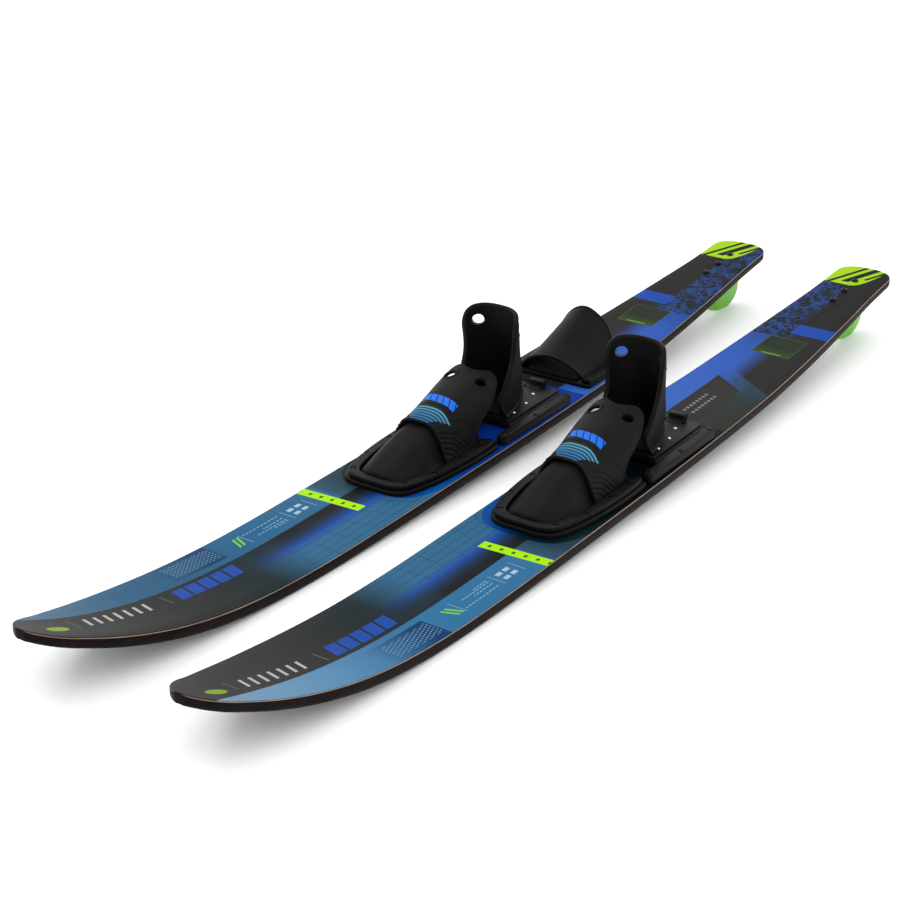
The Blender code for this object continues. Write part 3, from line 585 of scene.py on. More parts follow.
def skin(name, points, wall, look, place, relief=0.0, floor=None):
    """A rubber wall with rounded edges.

    The points are its outer face, the relief raises or sinks that face, and no point goes below the floor.
    """
    normals = np.cross(np.gradient(points, axis=1), np.gradient(points, axis=0))
    normals /= np.maximum(np.linalg.norm(normals, axis=2, keepdims=True), 1e-12)
    turn = wall / 2
    gone = np.clip(1 - edge_distance(points) / turn, 0, 1)
    lost = turn * (1 - np.sqrt(1 - gone ** 2))
    outer = points + normals * (relief - lost)[..., None]
    inner = points - normals * (wall - lost)[..., None]
    if floor is not None:
        outer[..., 2] = np.maximum(outer[..., 2], floor)
        inner[..., 2] = np.maximum(inner[..., 2], floor)
    rows, columns = points.shape[:2]
    count = rows * columns
    quads = strip_faces(rows, columns, False)
    faces = quads + [tuple(count + k for k in reversed(quad)) for quad in quads]
    rim = list(range(columns)) + [i * columns + columns - 1 for i in range(1, rows)]
    rim += [(rows - 1) * columns + j for j in range(columns - 2, -1, -1)]
    rim += [i * columns for i in range(rows - 2, 0, -1)]
    faces += [(a, count + a, count + b, b) for a, b in zip(rim, rim[1:] + rim[:1])]
    return make(name, np.concatenate([outer.reshape(-1, 3), inner.reshape(-1, 3)]), faces, look, place, 60)


def edge_distance(points):
    """Distance of each point of a grid from the nearest edge of the grid."""
    best = np.full(points.shape[:2], 1e9)
    for axis in (0, 1):
        steps = np.linalg.norm(np.diff(points, axis=axis), axis=2)
        start = np.zeros_like(np.take(steps, [0], axis=axis))
        run = np.concatenate([start, np.cumsum(steps, axis=axis)], axis=axis)
        best = np.minimum(best, np.minimum(run, np.take(run, [-1], axis=axis) - run))
    return best


def settled(item):
    """Applies a piece's modifiers to its mesh."""
    bpy.context.view_layer.update()
    graph = bpy.context.evaluated_depsgraph_get()
    final = bpy.data.meshes.new_from_object(item.evaluated_get(graph), preserve_all_data_layers=True,
                                            depsgraph=graph)
    item.modifiers.clear()
    item.data = final


def cut(item, cutters, sharp):
    """Takes the cutters' shapes out of a piece, removes the cutters and creases the edges past an angle."""
    for cutter in cutters:
        step = item.modifiers.new("cut", "BOOLEAN")
        step.operation = "DIFFERENCE"
        step.solver = "EXACT"
        step.object = cutter
    settled(item)
    for cutter in cutters:
        bpy.data.objects.remove(cutter)
    item.data.set_sharp_from_angle(angle=math.radians(sharp))


def rod(start, end, radius, look, segments=40):
    """A round bar between two points, for cutting a hole."""
    axis = Vector(end) - Vector(start)
    turn = Matrix.Translation(start) @ axis.to_track_quat("Z", "Y").to_matrix().to_4x4()
    angles = np.arange(segments) * 2 * math.pi / segments
    rings = [np.column_stack([radius * np.cos(angles), radius * np.sin(angles), np.full(segments, level)])
             for level in (0, axis.length)]
    return loft("cutter", rings, look, turn)


def refined(name, node, look, width):
    """A CAD piece with its flat faces merged and its edges rounded finely."""
    build = bmesh.new()
    build.from_mesh(frame["nodes"][node].data)
    bmesh.ops.remove_doubles(build, verts=build.verts, dist=WELD)
    bmesh.ops.dissolve_limit(build, angle_limit=math.radians(1.0), verts=build.verts, edges=build.edges)
    mesh = bpy.data.meshes.new(name)
    build.to_mesh(mesh)
    build.free()
    mesh.materials.clear()
    mesh.materials.append(look.material)
    item = added(name, mesh)
    step = item.modifiers.new("edges", "BEVEL")
    step.width = width
    step.segments = 3
    step.limit_method = "ANGLE"
    step.angle_limit = math.radians(30)
    settled(item)
    item.data.shade_smooth()
    item.data.set_sharp_from_angle(angle=math.radians(30))
    return item


def screws(name, places, size, look, place, segments=24):
    """Domed screws with hexagon sockets, joined in one piece; a place is (x, station, z)."""
    radius, height = size
    angles = np.arange(segments) * 2 * math.pi / segments
    hexagon = SOCKET_SIZE / np.cos((angles % (math.pi / 3)) - math.pi / 6) * math.cos(math.pi / 6)
    rings = [(np.full(segments, share), level) for share, level in SCREW_PROFILE]
    rings += [(hexagon * share, level) for share, level in SOCKET_PROFILE]
    vertices = []
    faces = []
    for x, station, z in places:
        first = len(vertices)
        for shares, level in rings:
            for angle, reach in zip(angles, radius * shares):
                vertices.append((x + reach * math.cos(angle), along(station) + reach * math.sin(angle),
                                 z + height * level))
        quads = strip_faces(len(rings), segments, True)
        faces += [tuple(first + k for k in quad) for quad in quads]
        faces.append(tuple(first + k for k in range(segments)))
        faces.append(tuple(first + (len(rings) - 1) * segments + k for k in range(segments)))
    return make(name, vertices, faces, look, place, 40)


def recessed(item, places, top, size, place, cutters=()):
    """Cuts a round recess for each screw into a piece's top face and returns where the screws sit."""
    depth, radius = size
    rods = [rod(place @ Vector((x, along(station), top - depth)),
                place @ Vector((x, along(station), top + RECESS_REACH)), radius, LOOKS["nylon"], RECESS_SIDES)
            for x, station in places]
    cut(item, [*cutters, *rods], 35)
    return [(x, station, top - depth + SCREW_SEAT) for x, station in places]


def finger_holes(item, inner, outer, look, place):
    """Cuts a finger hole along a line from inside to outside, and its mirror image."""
    rods = [rod(*(place @ Vector((sign * x, y, z)) for x, y, z in (inner, outer)), FINGER_RADIUS, look)
            for sign in (1, -1)]
    cut(item, rods, 45)
    return item


def foam_pad(name, outline, low, high, radius, place, body, node):
    """A foam pad with rounded edges."""
    pad = slab(name, outline, low, high, LOOKS["foam"], place, radius)
    stands_for(pad, body, "foam", node)


def stands_for(piece, body, slot, *nodes):
    """Fixes a piece where it lies, puts it under its body and hides the CAD nodes it replaces; the slot is
    not used.
    """
    piece.data.transform(piece.matrix_world)
    piece.matrix_world = Matrix.Identity(4)
    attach(piece, body)
    if nodes:
        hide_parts(*nodes)
    return piece


# ---- materials -------------------------------------------------------------------------------
def splatter(look):
    """A branching blue pattern from 0 to 1."""
    streaks = look.noise(70.0, 7.0, 0.66, stretch=(1.0, 0.6, 1.0))
    veins = abs(streaks - 0.5).rise(0.060, 0.0)
    broad = look.noise(30.0, 3.0, 0.5)
    return veins * broad.rise(0.30, 0.52)


def tip_marks(look, paint, x, station):
    """Plain marks on the tip: a lime oval, thin lines, pale strokes and a row of blue blocks."""
    turns = [(math.cos(k * math.pi / 8), math.sin(k * math.pi / 8)) for k in range(16)]
    oval = [(0.0088 + 0.0072 * c, 0.0475 + 0.0148 * s + 0.0020 * c) for c, s in turns]
    paint = look.mix(paint, "98b03a", look.polygon(x, station, oval))
    for at in (0.0775, 0.2285):
        paint = look.mix(paint, "6e6e6c", station.between(at, at + 0.0022) * x.between(-0.011, 0.013))
    slant = station + x * 0.25
    strokes = (slant - 0.098).saw(0.0158).below(0.30, 0.01) * slant.between(0.098, 0.207)
    paint = look.mix(paint, "c2c1bd", strokes * x.between(-0.009, 0.011))
    blocks = (slant - 0.249).saw(0.0236).below(0.84, 0.01) * slant.between(0.249, 0.3665)
    return look.mix(paint, "2a5fb4", blocks * x.between(-0.013, 0.013))


def band_marks(look, paint, across, station):
    """Marks on the blue band: a dotted patch, small lime bars, thin lines and rows of dashes."""
    patch = station.rise(0.27, 0.36) * station.below(0.381) * across.above(0.030)
    paint = look.mix(paint, "1d4f80", patch)
    row = station.saw(0.0052) - 0.5
    column = (across + station * 0.35).saw(0.0052) - 0.5
    dot = (row * row + column * column).below(0.075, 0.02)
    paint = look.mix(paint, "7ea7b8", dot * station.between(0.291, 0.378) * across.between(0.037, 0.067))
    lean = station - across * 0.42
    bars = lean.between(0.3965, 0.4005) + lean.between(0.4045, 0.4085)
    paint = look.mix(paint, "8fd24a", bars * across.between(0.036, 0.058))
    for at in (0.434, 0.518, 0.562):
        paint = look.mix(paint, "8fb6c9", station.between(at, at + 0.0013) * across.between(0.032, 0.060))
    dashes = station.saw(0.0073).below(0.72, 0.03)
    for level, start in ((0.0555, 0.439), (0.0465, 0.470), (0.0405, 0.452), (0.0365, 0.481)):
        row = across.between(level - 0.0007, level + 0.0007) * station.between(start, 0.511)
        paint = look.mix(paint, "9cc3d6", row * dashes)
    cells = station.between(0.527, 0.5375) + station.between(0.5425, 0.553)
    sides = across.between(0.037, 0.0435) + across.between(0.0495, 0.056)
    return look.mix(paint, "b4cfdb", cells * sides)


def grid_lines(look, paint, across, station):
    """Thin dark lines that run along and bend across the light blue field."""
    rows = (across + 0.0145).saw(0.0133) - 0.5
    bent = station + (across + 0.02) * (station - 0.49) * 3.2
    columns = (bent - 0.4405).saw(0.0356) - 0.5
    lines = abs(rows).above(0.463, 0.012).math("MAXIMUM", abs(columns).above(0.488, 0.004))
    return look.mix(paint, "1d4560", lines * across.below(-0.016) * station.rise(0.38, 0.46) * 0.62)


def front_paint(look, band_and_sheen_stops, across, x, station):
    """The tip, the fields ahead of the binding and the lime stripe."""
    field = look.ramp(station, [(0.02, "424241"), (0.10, "40403f"), (0.20, "3b3d3b"), (0.27, "383b3b"),
                                (0.35, "26383e"), (0.38, "293d46"), (0.41, "2a4555"), (0.44, "355a70"),
                                (0.47, "3f7392"), (0.60, "4d84aa")])
    sweep = look.ramp(across, [(-0.045, "467d9f"), (-0.032, "477d9f"), (-0.021, "376bb4"), (-0.013, "2a5797"),
                               (-0.003, "294560"), (0.006, "293340"), (0.014, "292b2b")])
    paint = look.mix(field, sweep, station.rise(0.37, 0.46))
    paint = grid_lines(look, paint, across, station)
    paint = tip_marks(look, paint, x, station)
    # The band's stops hold its print and a painted reflection, lighter towards the tip.
    band = band_marks(look, look.ramp(station, band_and_sheen_stops), across, station)
    edge = ((station - 0.013) * -18.0).math("EXPONENT") * 0.0135 + 0.020
    paint = look.mix(paint, band, (across - edge).above(0.0))
    stripe = station - x * 0.0556 + 0.00423
    lime = stripe.between(0.583, 0.600) * across.above(-0.0225)
    paint = look.mix(paint, "baf00c", lime)
    ticks = abs((across + 0.0188).saw(0.0175) - 0.5).below(0.13, 0.01) * stripe.between(0.5885, 0.5945)
    return look.mix(paint, "5c7a10", ticks * across.above(-0.0188))


def middle_print_and_shade(look, paint, across, station):
    """The oval field under the binding: cobalt print on the inner side, deep teal on the outer side, with
    painted shade from the binding darkening it towards the middle and over the outer side.
    """
    # The dark stops near the middle and on the outer side are painted shade under the binding.
    inner = look.ramp(across, [(-0.075, "0c6bac"), (-0.03, "1259a6"), (-0.004, "0c3b66"), (0.02, "0a2a38"),
                               (0.075, "0f3438")])
    rear = look.ramp(across, [(-0.02, "1450ae"), (0.0, "0c2f52"), (0.02, "0c1f26"), (0.075, "101b1c")])
    print_and_shade = look.mix(inner, rear, station.rise(0.68, 0.76))
    wide = (across / 0.085).math("POWER", 4.0)
    long = ((station - 0.85) / 0.222).math("POWER", 4.0)
    # The oval round the toe plate bounds the binding's painted shadow on the deck.
    inside = (wide + long).below(1.0, 0.01) + station.between(0.85, 1.055)
    return look.mix(paint, print_and_shade, inside.math("MINIMUM", 1.0))


def rear_paint(look, paint, across, station):
    """The fields behind the binding: panel, diagonal stripe, cobalt side, green frame and splatter."""
    cobalt = look.ramp(station, [(1.06, "4a7ac8"), (1.25, "4071c6"), (1.34, "386bbd"), (1.40, "305da8")])
    panel = look.ramp(station, [(1.05, "3c3f3c"), (1.13, "3b403c"), (1.165, "344546"), (1.20, "33525f")])
    plain = look.mix(panel, "3b3c3a", across.below(0.027, 0.0006))
    slope = station + across * 0.646
    dark = look.mix(cobalt, "323230", across.rise(-0.024, 0.010))
    low_part = look.mix(cobalt, plain, across.above(-0.028))
    diagonal = look.ramp(across, [(-0.03, "3f70c2"), (-0.012, "3d69b0"), (0.005, "395e88"), (0.03, "35556c"),
                                  (0.06, "33525f")])
    rear = look.mix(low_part, diagonal, slope.above(1.2095) * across.rise(0.034, 0.026))
    rear = look.mix(rear, dark, slope.above(1.2439))
    rows = across.between(0.0025, 0.0075) + across.between(-0.0115, -0.0065)
    dashes = abs(station.saw(0.0092) - 0.5).below(0.27, 0.02) * station.between(1.083, 1.161)
    rear = look.mix(rear, "a4a6a2", rows * dashes * 0.8)
    pattern = splatter(look)
    ragged = look.noise(55.0, 4.0, 0.6)
    side_edge = across + ragged * 0.020
    wild = (station + ragged * 0.05).above(1.425, 0.002) * side_edge.below(0.009, 0.001)
    rear = look.mix(rear, look.mix("252d35", "2f63b0", pattern), wild)
    rear = look.mix(rear, "2c2c2a", station.above(1.454) * side_edge.above(0.009, 0.001))
    rear = look.mix(rear, "1d5cb4", station.between(1.4175, 1.454) * across.above(-0.004, 0.001))
    glass = look.ramp(station, [(1.331, "4c6030"), (1.342, "3d5628"), (1.362, "2d3c2b"), (1.397, "323f2c")])
    frame_in = across.between(-0.027, 0.036) * station.between(1.331, 1.397)
    rear = look.mix(rear, glass, frame_in)
    inset = across.between(-0.0262, 0.0352) * station.between(1.3318, 1.3962)
    rear = look.mix(rear, "6a7a47", frame_in * (inset * -1.0 + 1.0))
    ticks = across.between(-0.012, 0.020) * across.saw(0.0045).below(0.7, 0.05)
    rear = look.mix(rear, "9db84a", ticks * station.between(1.3345, 1.3375))
    return look.mix(paint, rear, station.above(1.055))


def tail_paint(look, paint, x, station):
    """The lime tail with dark diagonal stripes."""
    limit = (station - 1.627).math("MAXIMUM", 0.0).math("POWER", 0.5) * 0.125
    inside = (x - limit).below(0.0) * station.above(1.626)
    paint = look.mix(paint, "b2dc14", inside)
    slant = x - (station - 1.637) * 0.49
    bars = slant.between(-0.0375, -0.0305)
    bars = bars + slant.between(-0.0215, -0.0085) * station.above(1.6365)
    bars = bars + slant.between(0.0005, 0.0065) * station.above(1.655)
    return look.mix(paint, "20280f", bars * inside)


def deck_look(side, place):
    """The printed top sheet; its fields are mirrored between the skis and its marks aren't."""
    outward = 1.0 if side == "left" else -1.0
    look = Look(side + "_deck")
    x, y, _ = look.place(place)
    station = y + SKI_LENGTH / 2
    across = x * outward
    ahead = station.rise(*MARKS_AHEAD_RISE) * MARKS_AHEAD[side]
    paint = front_paint(look, OUTER_BAND_AND_SHEEN[side], across, x, station + ahead)
    paint = middle_print_and_shade(look, paint, across, station)
    paint = rear_paint(look, paint, across, station)
    paint = tail_paint(look, paint, x, station)
    speck = look.noise(900.0, 2.0, 0.7)
    smear = look.noise(14.0, 5.0, 0.6, stretch=(1.0, 0.35, 1.0))
    paint = look.mix(look.contrast(paint, PRINT_CONTRAST), "000000", PRINT_DARKENING)
    paint = look.mix(paint, "ffffff", speck.rise(0.62, 0.9) * 0.02)
    look.set(Base_Color=paint, Roughness=smear.rise(0.3, 0.8) * 0.12 + 0.34)
    look.set(Coat_Weight=0.01, Coat_Roughness=0.12, Specular_IOR_Level=0.02)
    look.set(Normal=look.bump(smear + speck * 0.15, 0.0006, 0.12))
    return look


def side_wall_look():
    """The dark laminated side wall."""
    look = Look("side_wall")
    grain = look.noise(60.0, 6.0, 0.65, stretch=(1.0, 0.06, 6.0))
    fine = look.noise(260.0, 3.0, 0.6, stretch=(1.0, 0.12, 3.0))
    look.set(Base_Color=look.ramp(grain * 0.6 + fine * 0.4,
                                  [(0.35, "080403"), (0.5, "100a08"), (0.66, "211713")]))
    look.set(Roughness=fine * 0.2 + 0.36, Normal=look.bump(fine, 0.0004, 0.3), Specular_IOR_Level=0.05)
    return look


def base_look():
    """The running surface: dark, slightly ground plastic."""
    look = Look("running_base")
    grind = look.noise(120.0, 4.0, 0.6, stretch=(1.0, 0.03, 1.0))
    cloud = look.noise(9.0, 3.0, 0.5)
    look.set(Base_Color=look.ramp(cloud * 0.5 + grind * 0.5, [(0.3, "17181a"), (0.7, "2a2c2f")]))
    look.set(Roughness=grind * 0.25 + 0.28, Normal=look.bump(grind, 0.0003, 0.25))
    return look


def fin_look():
    """Tinted translucent plastic."""
    look = Look("fin_plastic")
    cloud = look.noise(20.0, 3.0, 0.5)
    look.set(Base_Color=look.ramp(cloud, [(0.3, "4b9400"), (0.7, "63b004")]))
    look.set(Roughness=cloud * 0.12 + 0.26, Subsurface_Weight=0.2, Specular_IOR_Level=0.3)
    look.set(Subsurface_Radius=(0.004, 0.008, 0.002), Normal=look.bump(look.noise(200.0), 0.0002, 0.2))
    return look


def wrap_look(side, place):
    """Rubber with six printed arcs over the front and a hatched blue block behind them."""
    look = grained(side + "_wrap_rubber", "0b0b0b", "141414", 0.50, 1500.0, 0.0004)
    base = look.shader.inputs["Base Color"].links[0].from_socket
    x, y, z = look.place(place)
    station = y + SKI_LENGTH / 2
    bow = station + x * x * 4.2
    limit = (bow - 0.752) * 0.66 + 0.0150
    arcs = (bow - 0.7500).saw(0.0055)
    zone = bow.between(0.7505, 0.7832) * (abs(x) - limit).below(0.0, 0.0004) * z.above(0.040)
    ink = look.ramp(bow, [(0.750, "1c5080"), (0.764, "2f698c"), (0.783, "4f8590")])
    paint = look.mix(base, "0d2b4a", zone)
    paint = look.mix(paint, ink, zone * arcs.between(0.22, 0.74, 0.05))
    block = station + x * 0.09
    hatch = (x + block * 0.45).saw(0.0108).below(0.86, 0.02)
    zone = block.between(0.7945, 0.8090) * abs(x).below(0.0275) * z.above(0.05)
    look.set(Base_Color=look.mix(paint, "1d5fc4", zone * hatch))
    return look


def screw_look(name, dark, light, roughness, metallic):
    """Turned metal with fine scratches."""
    look = Look(name)
    scratch = look.noise(700.0, 3.0, 0.7, stretch=(1.0, 1.0, 0.2))
    look.set(Base_Color=look.ramp(scratch, [(0.3, dark), (0.7, light)]), Metallic=metallic)
    look.set(Roughness=scratch * 0.15 + roughness)
    return look


LOOKS = {
    "wall": side_wall_look(),
    # Pale brown for the top chamfer: a painted highlight where light catches the edge between deck and side
    # wall.
    "pale": grained("painted_highlight_edge", "6f6058", "978579", 0.40, 600.0, 0.0002),
    "base": base_look(),
    "fin": fin_look(),
    "nylon": grained("nylon", "080808", "0f0f0f", 0.40, 1100.0, 0.0003),
    "rubber": grained("rubber", "0a0a0a", "131313", 0.48, 1500.0, 0.0004),
    "foam": grained("foam", "0d0d0f", "1b1b1e", 0.85, 420.0, 0.0015),
    "black_screw": screw_look("black_screw", "0e0e0f", "262628", 0.28, 0.9),
    "steel": screw_look("steel", "b9b9b9", "e6e6e6", 0.18, 1.0),
}


# ---- the skis --------------------------------------------------------------------------------
def ski_place(side):
    """The matrix of a ski's own frame, from where the CAD model put its core and top sheet."""
    slide = next(j for j in frame["joints"] if j["name"] == side + "_heel_slide")
    pitch = Matrix.Rotation(math.atan2(-slide["axis"][2], -slide["axis"][1]), 4, "X")
    level = pitch.inverted()
    core = [level @ v.co for v in frame["nodes"][side + "_ski_core"].data.vertices]
    sheet = [level @ v.co for v in frame["nodes"][side + "_top_sheet"].data.vertices]
    x = (min(p.x for p in core) + max(p.x for p in core)) / 2
    y = min(p.y for p in core) - along(FIRST_STATION)
    z = min(p.z for p in sheet) + SHEET_THICKNESS
    return pitch @ Matrix.Translation((x, y, z))


def shifted(place, distance):
    """A frame moved along the ski."""
    return place @ Matrix.Translation((0, distance, 0))


def deck_height(station):
    """Height of the deck above its flat stretch."""
    tip = TIP_RISE * np.clip(1 - station / TIP_CURVE_END, 0, 1) ** 3
    tail = np.clip((station - TAIL_CURVE_START) / (SKI_LENGTH - TAIL_CURVE_START), 0, 1)
    return tip + TAIL_RISE * tail ** 1.5


def half_width(station):
    """Half the ski's width, rounded off at the tip and the tail."""
    nose = np.sqrt(1 - np.clip(1 - station / NOSE_LENGTH, 0, 1) ** 2)
    tail = np.clip((station - (SKI_LENGTH - TAIL_ROUND)) / TAIL_ROUND, 0, 1)
    return curve(SIDECUT, station) * nose * (1 - tail ** 3) ** 0.45


def core_thickness(station):
    """The core's thickness, which falls a little towards both ends."""
    near_tip = np.clip(1 - station / TIP_THINNING_END, 0, 1)
    near_tail = np.clip((station - TAIL_THINNING_START) / (SKI_LENGTH - TAIL_THINNING_START), 0, 1)
    return CORE_THICKNESS - TIP_THINNING * near_tip ** 2 - TAIL_THINNING * near_tail


def fine_stations():
    """Stations along the ski, closest together round the nose and the tail."""
    nose = NOSE_LENGTH * np.linspace(0, 1, 26)[1:] ** 2 + FIRST_STATION
    middle = np.linspace(NOSE_LENGTH + 0.005, SKI_LENGTH - TAIL_ROUND - 0.004, 130)
    tail = SKI_LENGTH - 0.0005 - (TAIL_ROUND - 0.0005) * np.linspace(1, 0, 22) ** 1.8
    return np.concatenate([[FIRST_STATION], nose, middle, tail])


def core_ring(station):
    """The core's section: chamfered top edges, upright side walls, round lower edges, concave base."""
    wide = half_width(station)
    top = deck_height(station) - SHEET_THICKNESS - GAP
    low = top - core_thickness(station)
    tunnel = TUNNEL_DEPTH * min(1.0, wide / FULL_TUNNEL_WIDTH)
    edge = min(0.004, 0.25 * wide)
    half = [(wide - 0.28 * edge, top), (wide - 0.10 * edge, top - 0.03 * edge), (wide, top - 0.20 * edge)]
    half += [(wide, low + 1.3 * edge), (wide - 0.1 * edge, low + 0.75 * edge)]
    half += [(wide - 0.4 * edge, low + 0.25 * edge), (wide - 0.85 * edge, low + 0.05 * edge)]
    half += [(wide - 1.4 * edge, low), (0.62 * wide, low)]
    for share in (0.55, 0.48, 0.41, 0.34):
        part = (0.62 - share) / 0.28
        half.append((share * wide, low + tunnel * part * part * (3 - 2 * part)))
    half += [(0.15 * wide, low + tunnel), (0.0, low + tunnel)]
    ring = half + [(-x, z) for x, z in reversed(half[:-1])]
    return [(x, along(station), z) for x, z in ring]


def sheet_ring(station):
    """The top sheet's section, with softly rounded upper edges."""
    wide = max(half_width(station) - SHEET_INSET, 0.0006)
    top = deck_height(station)
    soft = min(0.0005, 0.3 * wide)
    half = [(wide, top - SHEET_THICKNESS), (wide, top - 0.6 * soft), (wide - 0.3 * soft, top - 0.15 * soft),
            (wide - soft, top), (0.66 * wide, top), (0.33 * wide, top)]
    ring = half + [(-x, z) for x, z in reversed(half)]
    return [(x, along(station), z) for x, z in ring]


def ski(side, place):
    """Core, top sheet, fin and fin screws."""
    body = side + "_ski"
    stations = fine_stations()
    core = loft(side + "_core", [core_ring(s) for s in stations], LOOKS["wall"], place)
    # Second slot: the painted highlight on the top chamfer.
    core.data.materials.append(LOOKS["pale"].material)
    core.data.materials.append(LOOKS["base"].material)
    paint_core(core.data)
    stands_for(core, body, "core", side + "_ski_core")
    sheet = loft(side + "_deck", [sheet_ring(s) for s in stations[1:-1]], deck_look(side, place), place)
    stands_for(sheet, body, "top_sheet", side + "_top_sheet")
    stands_for(fin(side, place), body, "fin", side + "_fin")
    heads = [(0.0, s, float(deck_height(s)) + GAP) for s in FIN_SCREW_STATIONS]
    made = screws(side + "_fin_screws", heads, FIN_SCREW, LOOKS["black_screw"], place)
    nodes = [f"{side}_fin_screw_{k}" for k in (1, 2, 3)]
    stands_for(made, body, "black_screw", *nodes)


def paint_core(mesh):
    """Paints a highlight on the top chamfer in a pale finish, and gives the running surface its own finish.
    """
    for face in mesh.polygons:
        station = face.center.y + SKI_LENGTH / 2
        drop = float(deck_height(station)) - face.center.z
        if drop < 0.0021 and face.normal.z > 0.05 and abs(face.center.x) > 0.6 * float(half_width(station)):
            face.material_index = 1
        elif face.normal.z < -0.80:
            face.material_index = 2


def fin(side, place):
    """The fin: a thin blade with a rounded rim, its top in the base's groove."""
    stations = np.linspace(FIN_FRONT, FIN_REAR, 12)
    wide = half_width(stations)
    roof = deck_height(stations) - SHEET_THICKNESS - 2 * GAP - core_thickness(stations)
    roof = roof + TUNNEL_DEPTH * np.minimum(1.0, wide / FULL_TUNNEL_WIDTH) - 0.0009
    upper = list(zip(along(stations), roof))
    low_points = [(FIN_REAR, float(roof[-1]))] + FIN_LOW_EDGE + [(FIN_FRONT, float(roof[0]))]
    run = np.concatenate([[0], np.cumsum(np.linalg.norm(np.diff(np.array(low_points), axis=0), axis=1))])
    at = np.linspace(0, run[-1], 46)[1:-1]
    low_stations, low_heights = (curve(list(zip(run, values)), at) for values in zip(*low_points))
    outline = upper + list(zip(along(low_stations), low_heights))
    half = FIN_THICKNESS / 2
    return slab(side + "_fin_blade", outline, -half, half, LOOKS["fin"], place, FIN_EDGE, sideways=True)


# ---- toe binding -----------------------------------------------------------------------------
def cover_points():
    """Outer face of the toe cover, from the clamp's opening up to the instep."""
    runs = spaced(0.125, 0.0013) * (len(COVER_RIDGE) - 1)
    parts = spaced(0.14, 0.0013) * 2 - 1
    run, part = np.meshgrid(runs, parts, indexing="ij")

    def along_rows(values):
        return curve(list(enumerate(values)), run)

    crown = along_rows([s for s, _ in COVER_RIDGE])
    rise = along_rows([z for _, z in COVER_RIDGE])
    foot_x = along_rows([x for x, _ in COVER_FEET])
    foot_s = along_rows([s for _, s in COVER_FEET])
    boxy = np.clip(along_rows(COVER_BOXY), 0, 1)
    x, up = mixed_arch(np.ones_like(run), np.ones_like(run), 2.0, boxy, part)
    station = crown + (foot_s - crown) * (1 - up)
    return np.stack([x * foot_x, along(station), TOE_PLATE_TOP + GAP + np.maximum(rise, 0) * up], axis=-1)


def wrap_points():
    """Outer face of the instep wrap, from its front rim to its rear lobes."""
    runs = spaced(0.105, 0.0009)
    parts = spaced(0.24, 0.0012) * 2 - 1
    run, part = np.meshgrid(runs, parts, indexing="ij")
    station = WRAP_FRONT + (curve(WRAP_REAR, np.abs(part)) - WRAP_FRONT) * run
    x, up = mixed_arch(WRAP_HALF_WIDTH, curve(WRAP_HEIGHT, station), curve(WRAP_POWER, station),
                       curve(WRAP_BOXY, station), part)
    return np.stack([x, along(station), TOE_PLATE_TOP + GAP + up], axis=-1)


def wrap_relief(points):
    """Chevron grooves on both flanks, a rolled front rim, a rear border and rings round the holes."""
    x = points[..., 0]
    station = points[..., 1] + SKI_LENGTH / 2
    z = points[..., 2]
    flank = np.clip((np.abs(x) - 0.012) / 0.004, 0, 1)
    relief = np.zeros_like(x)
    for line in CHEVRONS:
        relief += flank * ridge(line_distance(station, z, line), 0.00085, -0.0011)
    relief += flank * ridge(line_distance(station, z, PANEL_EDGE), 0.0008, -0.0008)
    crown = 1 - np.clip((np.abs(x) - 0.032) / 0.003, 0, 1)
    relief += crown * ridge(station - 0.7868 + 2.0 * x * x, 0.0008, -0.0006)
    rear = away(points, points[-1:])
    relief += ridge(away(points, points[:1]) - 0.0016, 0.0016, 0.0013)
    relief += ridge(rear - 0.0062, 0.0008, -0.0006) + ridge(rear - 0.0020, 0.0022, 0.0006)
    for sign in (1, -1):
        beyond = away(points, points[hole_index(points, sign)]) - FINGER_RADIUS
        relief += ridge(beyond - 0.0022, 0.0015, 0.0010) + ridge(beyond - 0.0050, 0.0007, -0.0004)
    return relief


def hole_index(points, sign):
    """Where the finger hole's middle lies in the wrap's grid."""
    x, station = FINGER_HOLE
    apart = np.hypot(points[..., 0] - sign * x, points[..., 1] - along(station)) - points[..., 2] * 0.01
    return np.unravel_index(np.argmin(apart), apart.shape)


def wrap_mesh(name, look, place):
    """The instep wrap with its two finger holes."""
    points = wrap_points()
    item = skin(name, points, RUBBER, look, place, wrap_relief(points), RUBBER_FOOT)
    x, y = FINGER_HOLE[0], along(FINGER_HOLE[1])
    return finger_holes(item, (0.9 * x, y, 0.06), (1.15 * x, y - 0.004, 0.12), look, place)


def cover_relief(points):
    """A soft ridge along the crown and a raised lip round the front edge."""
    edge = edge_distance(points)
    return ridge(edge - 0.0030, 0.0016, 0.0005) - ridge(edge - 0.0062, 0.0010, 0.0003)


def frame_outline():
    """The clamp's outline: up its outer edge and back along its inner edge."""
    right = TOE_OUTER + TOE_INNER
    left = [(-x, s) for x, s in reversed(right[1:]) if x > 0]
    return rounded_loop([(x, along(s)) for x, s in right + left], 6)


def toe_binding(side, place):
    """Base plate, clamp with recessed screws and footbed; the toe cover and instep wrap are made in
    rubber_pieces.
    """
    body = side + "_ski"
    outline = mirrored(TOE_PLATE, 8)
    plate = slab(side + "_base_plate", outline, GAP, TOE_PLATE_TOP, LOOKS["nylon"], place, PLATE_EDGE)
    stands_for(plate, body, "nylon", side + "_toe_plate")
    clamp = slab(side + "_clamp", frame_outline(), TOE_PLATE_TOP + GAP, TOE_FRAME_TOP, LOOKS["nylon"], place,
                 CLAMP_EDGE, steps=5)
    places = [(sign * x, station) for x, station in FRAME_SCREWS for sign in (1, -1)]
    heads = recessed(clamp, places, TOE_FRAME_TOP, CLAMP_RECESS, place)
    stands_for(clamp, body, "nylon", side + "_toe_frame")
    made = screws(side + "_clamp_screws", heads, CLAMP_SCREW, LOOKS["black_screw"], place)
    stands_for(made, body, "black_screw")
    foam_pad(side + "_foot_pad", mirrored(FOOTBED, 6), TOE_PLATE_TOP + GAP, FOOTBED_TOP, FOOT_PAD_EDGE, place,
             body, side + "_footbed")


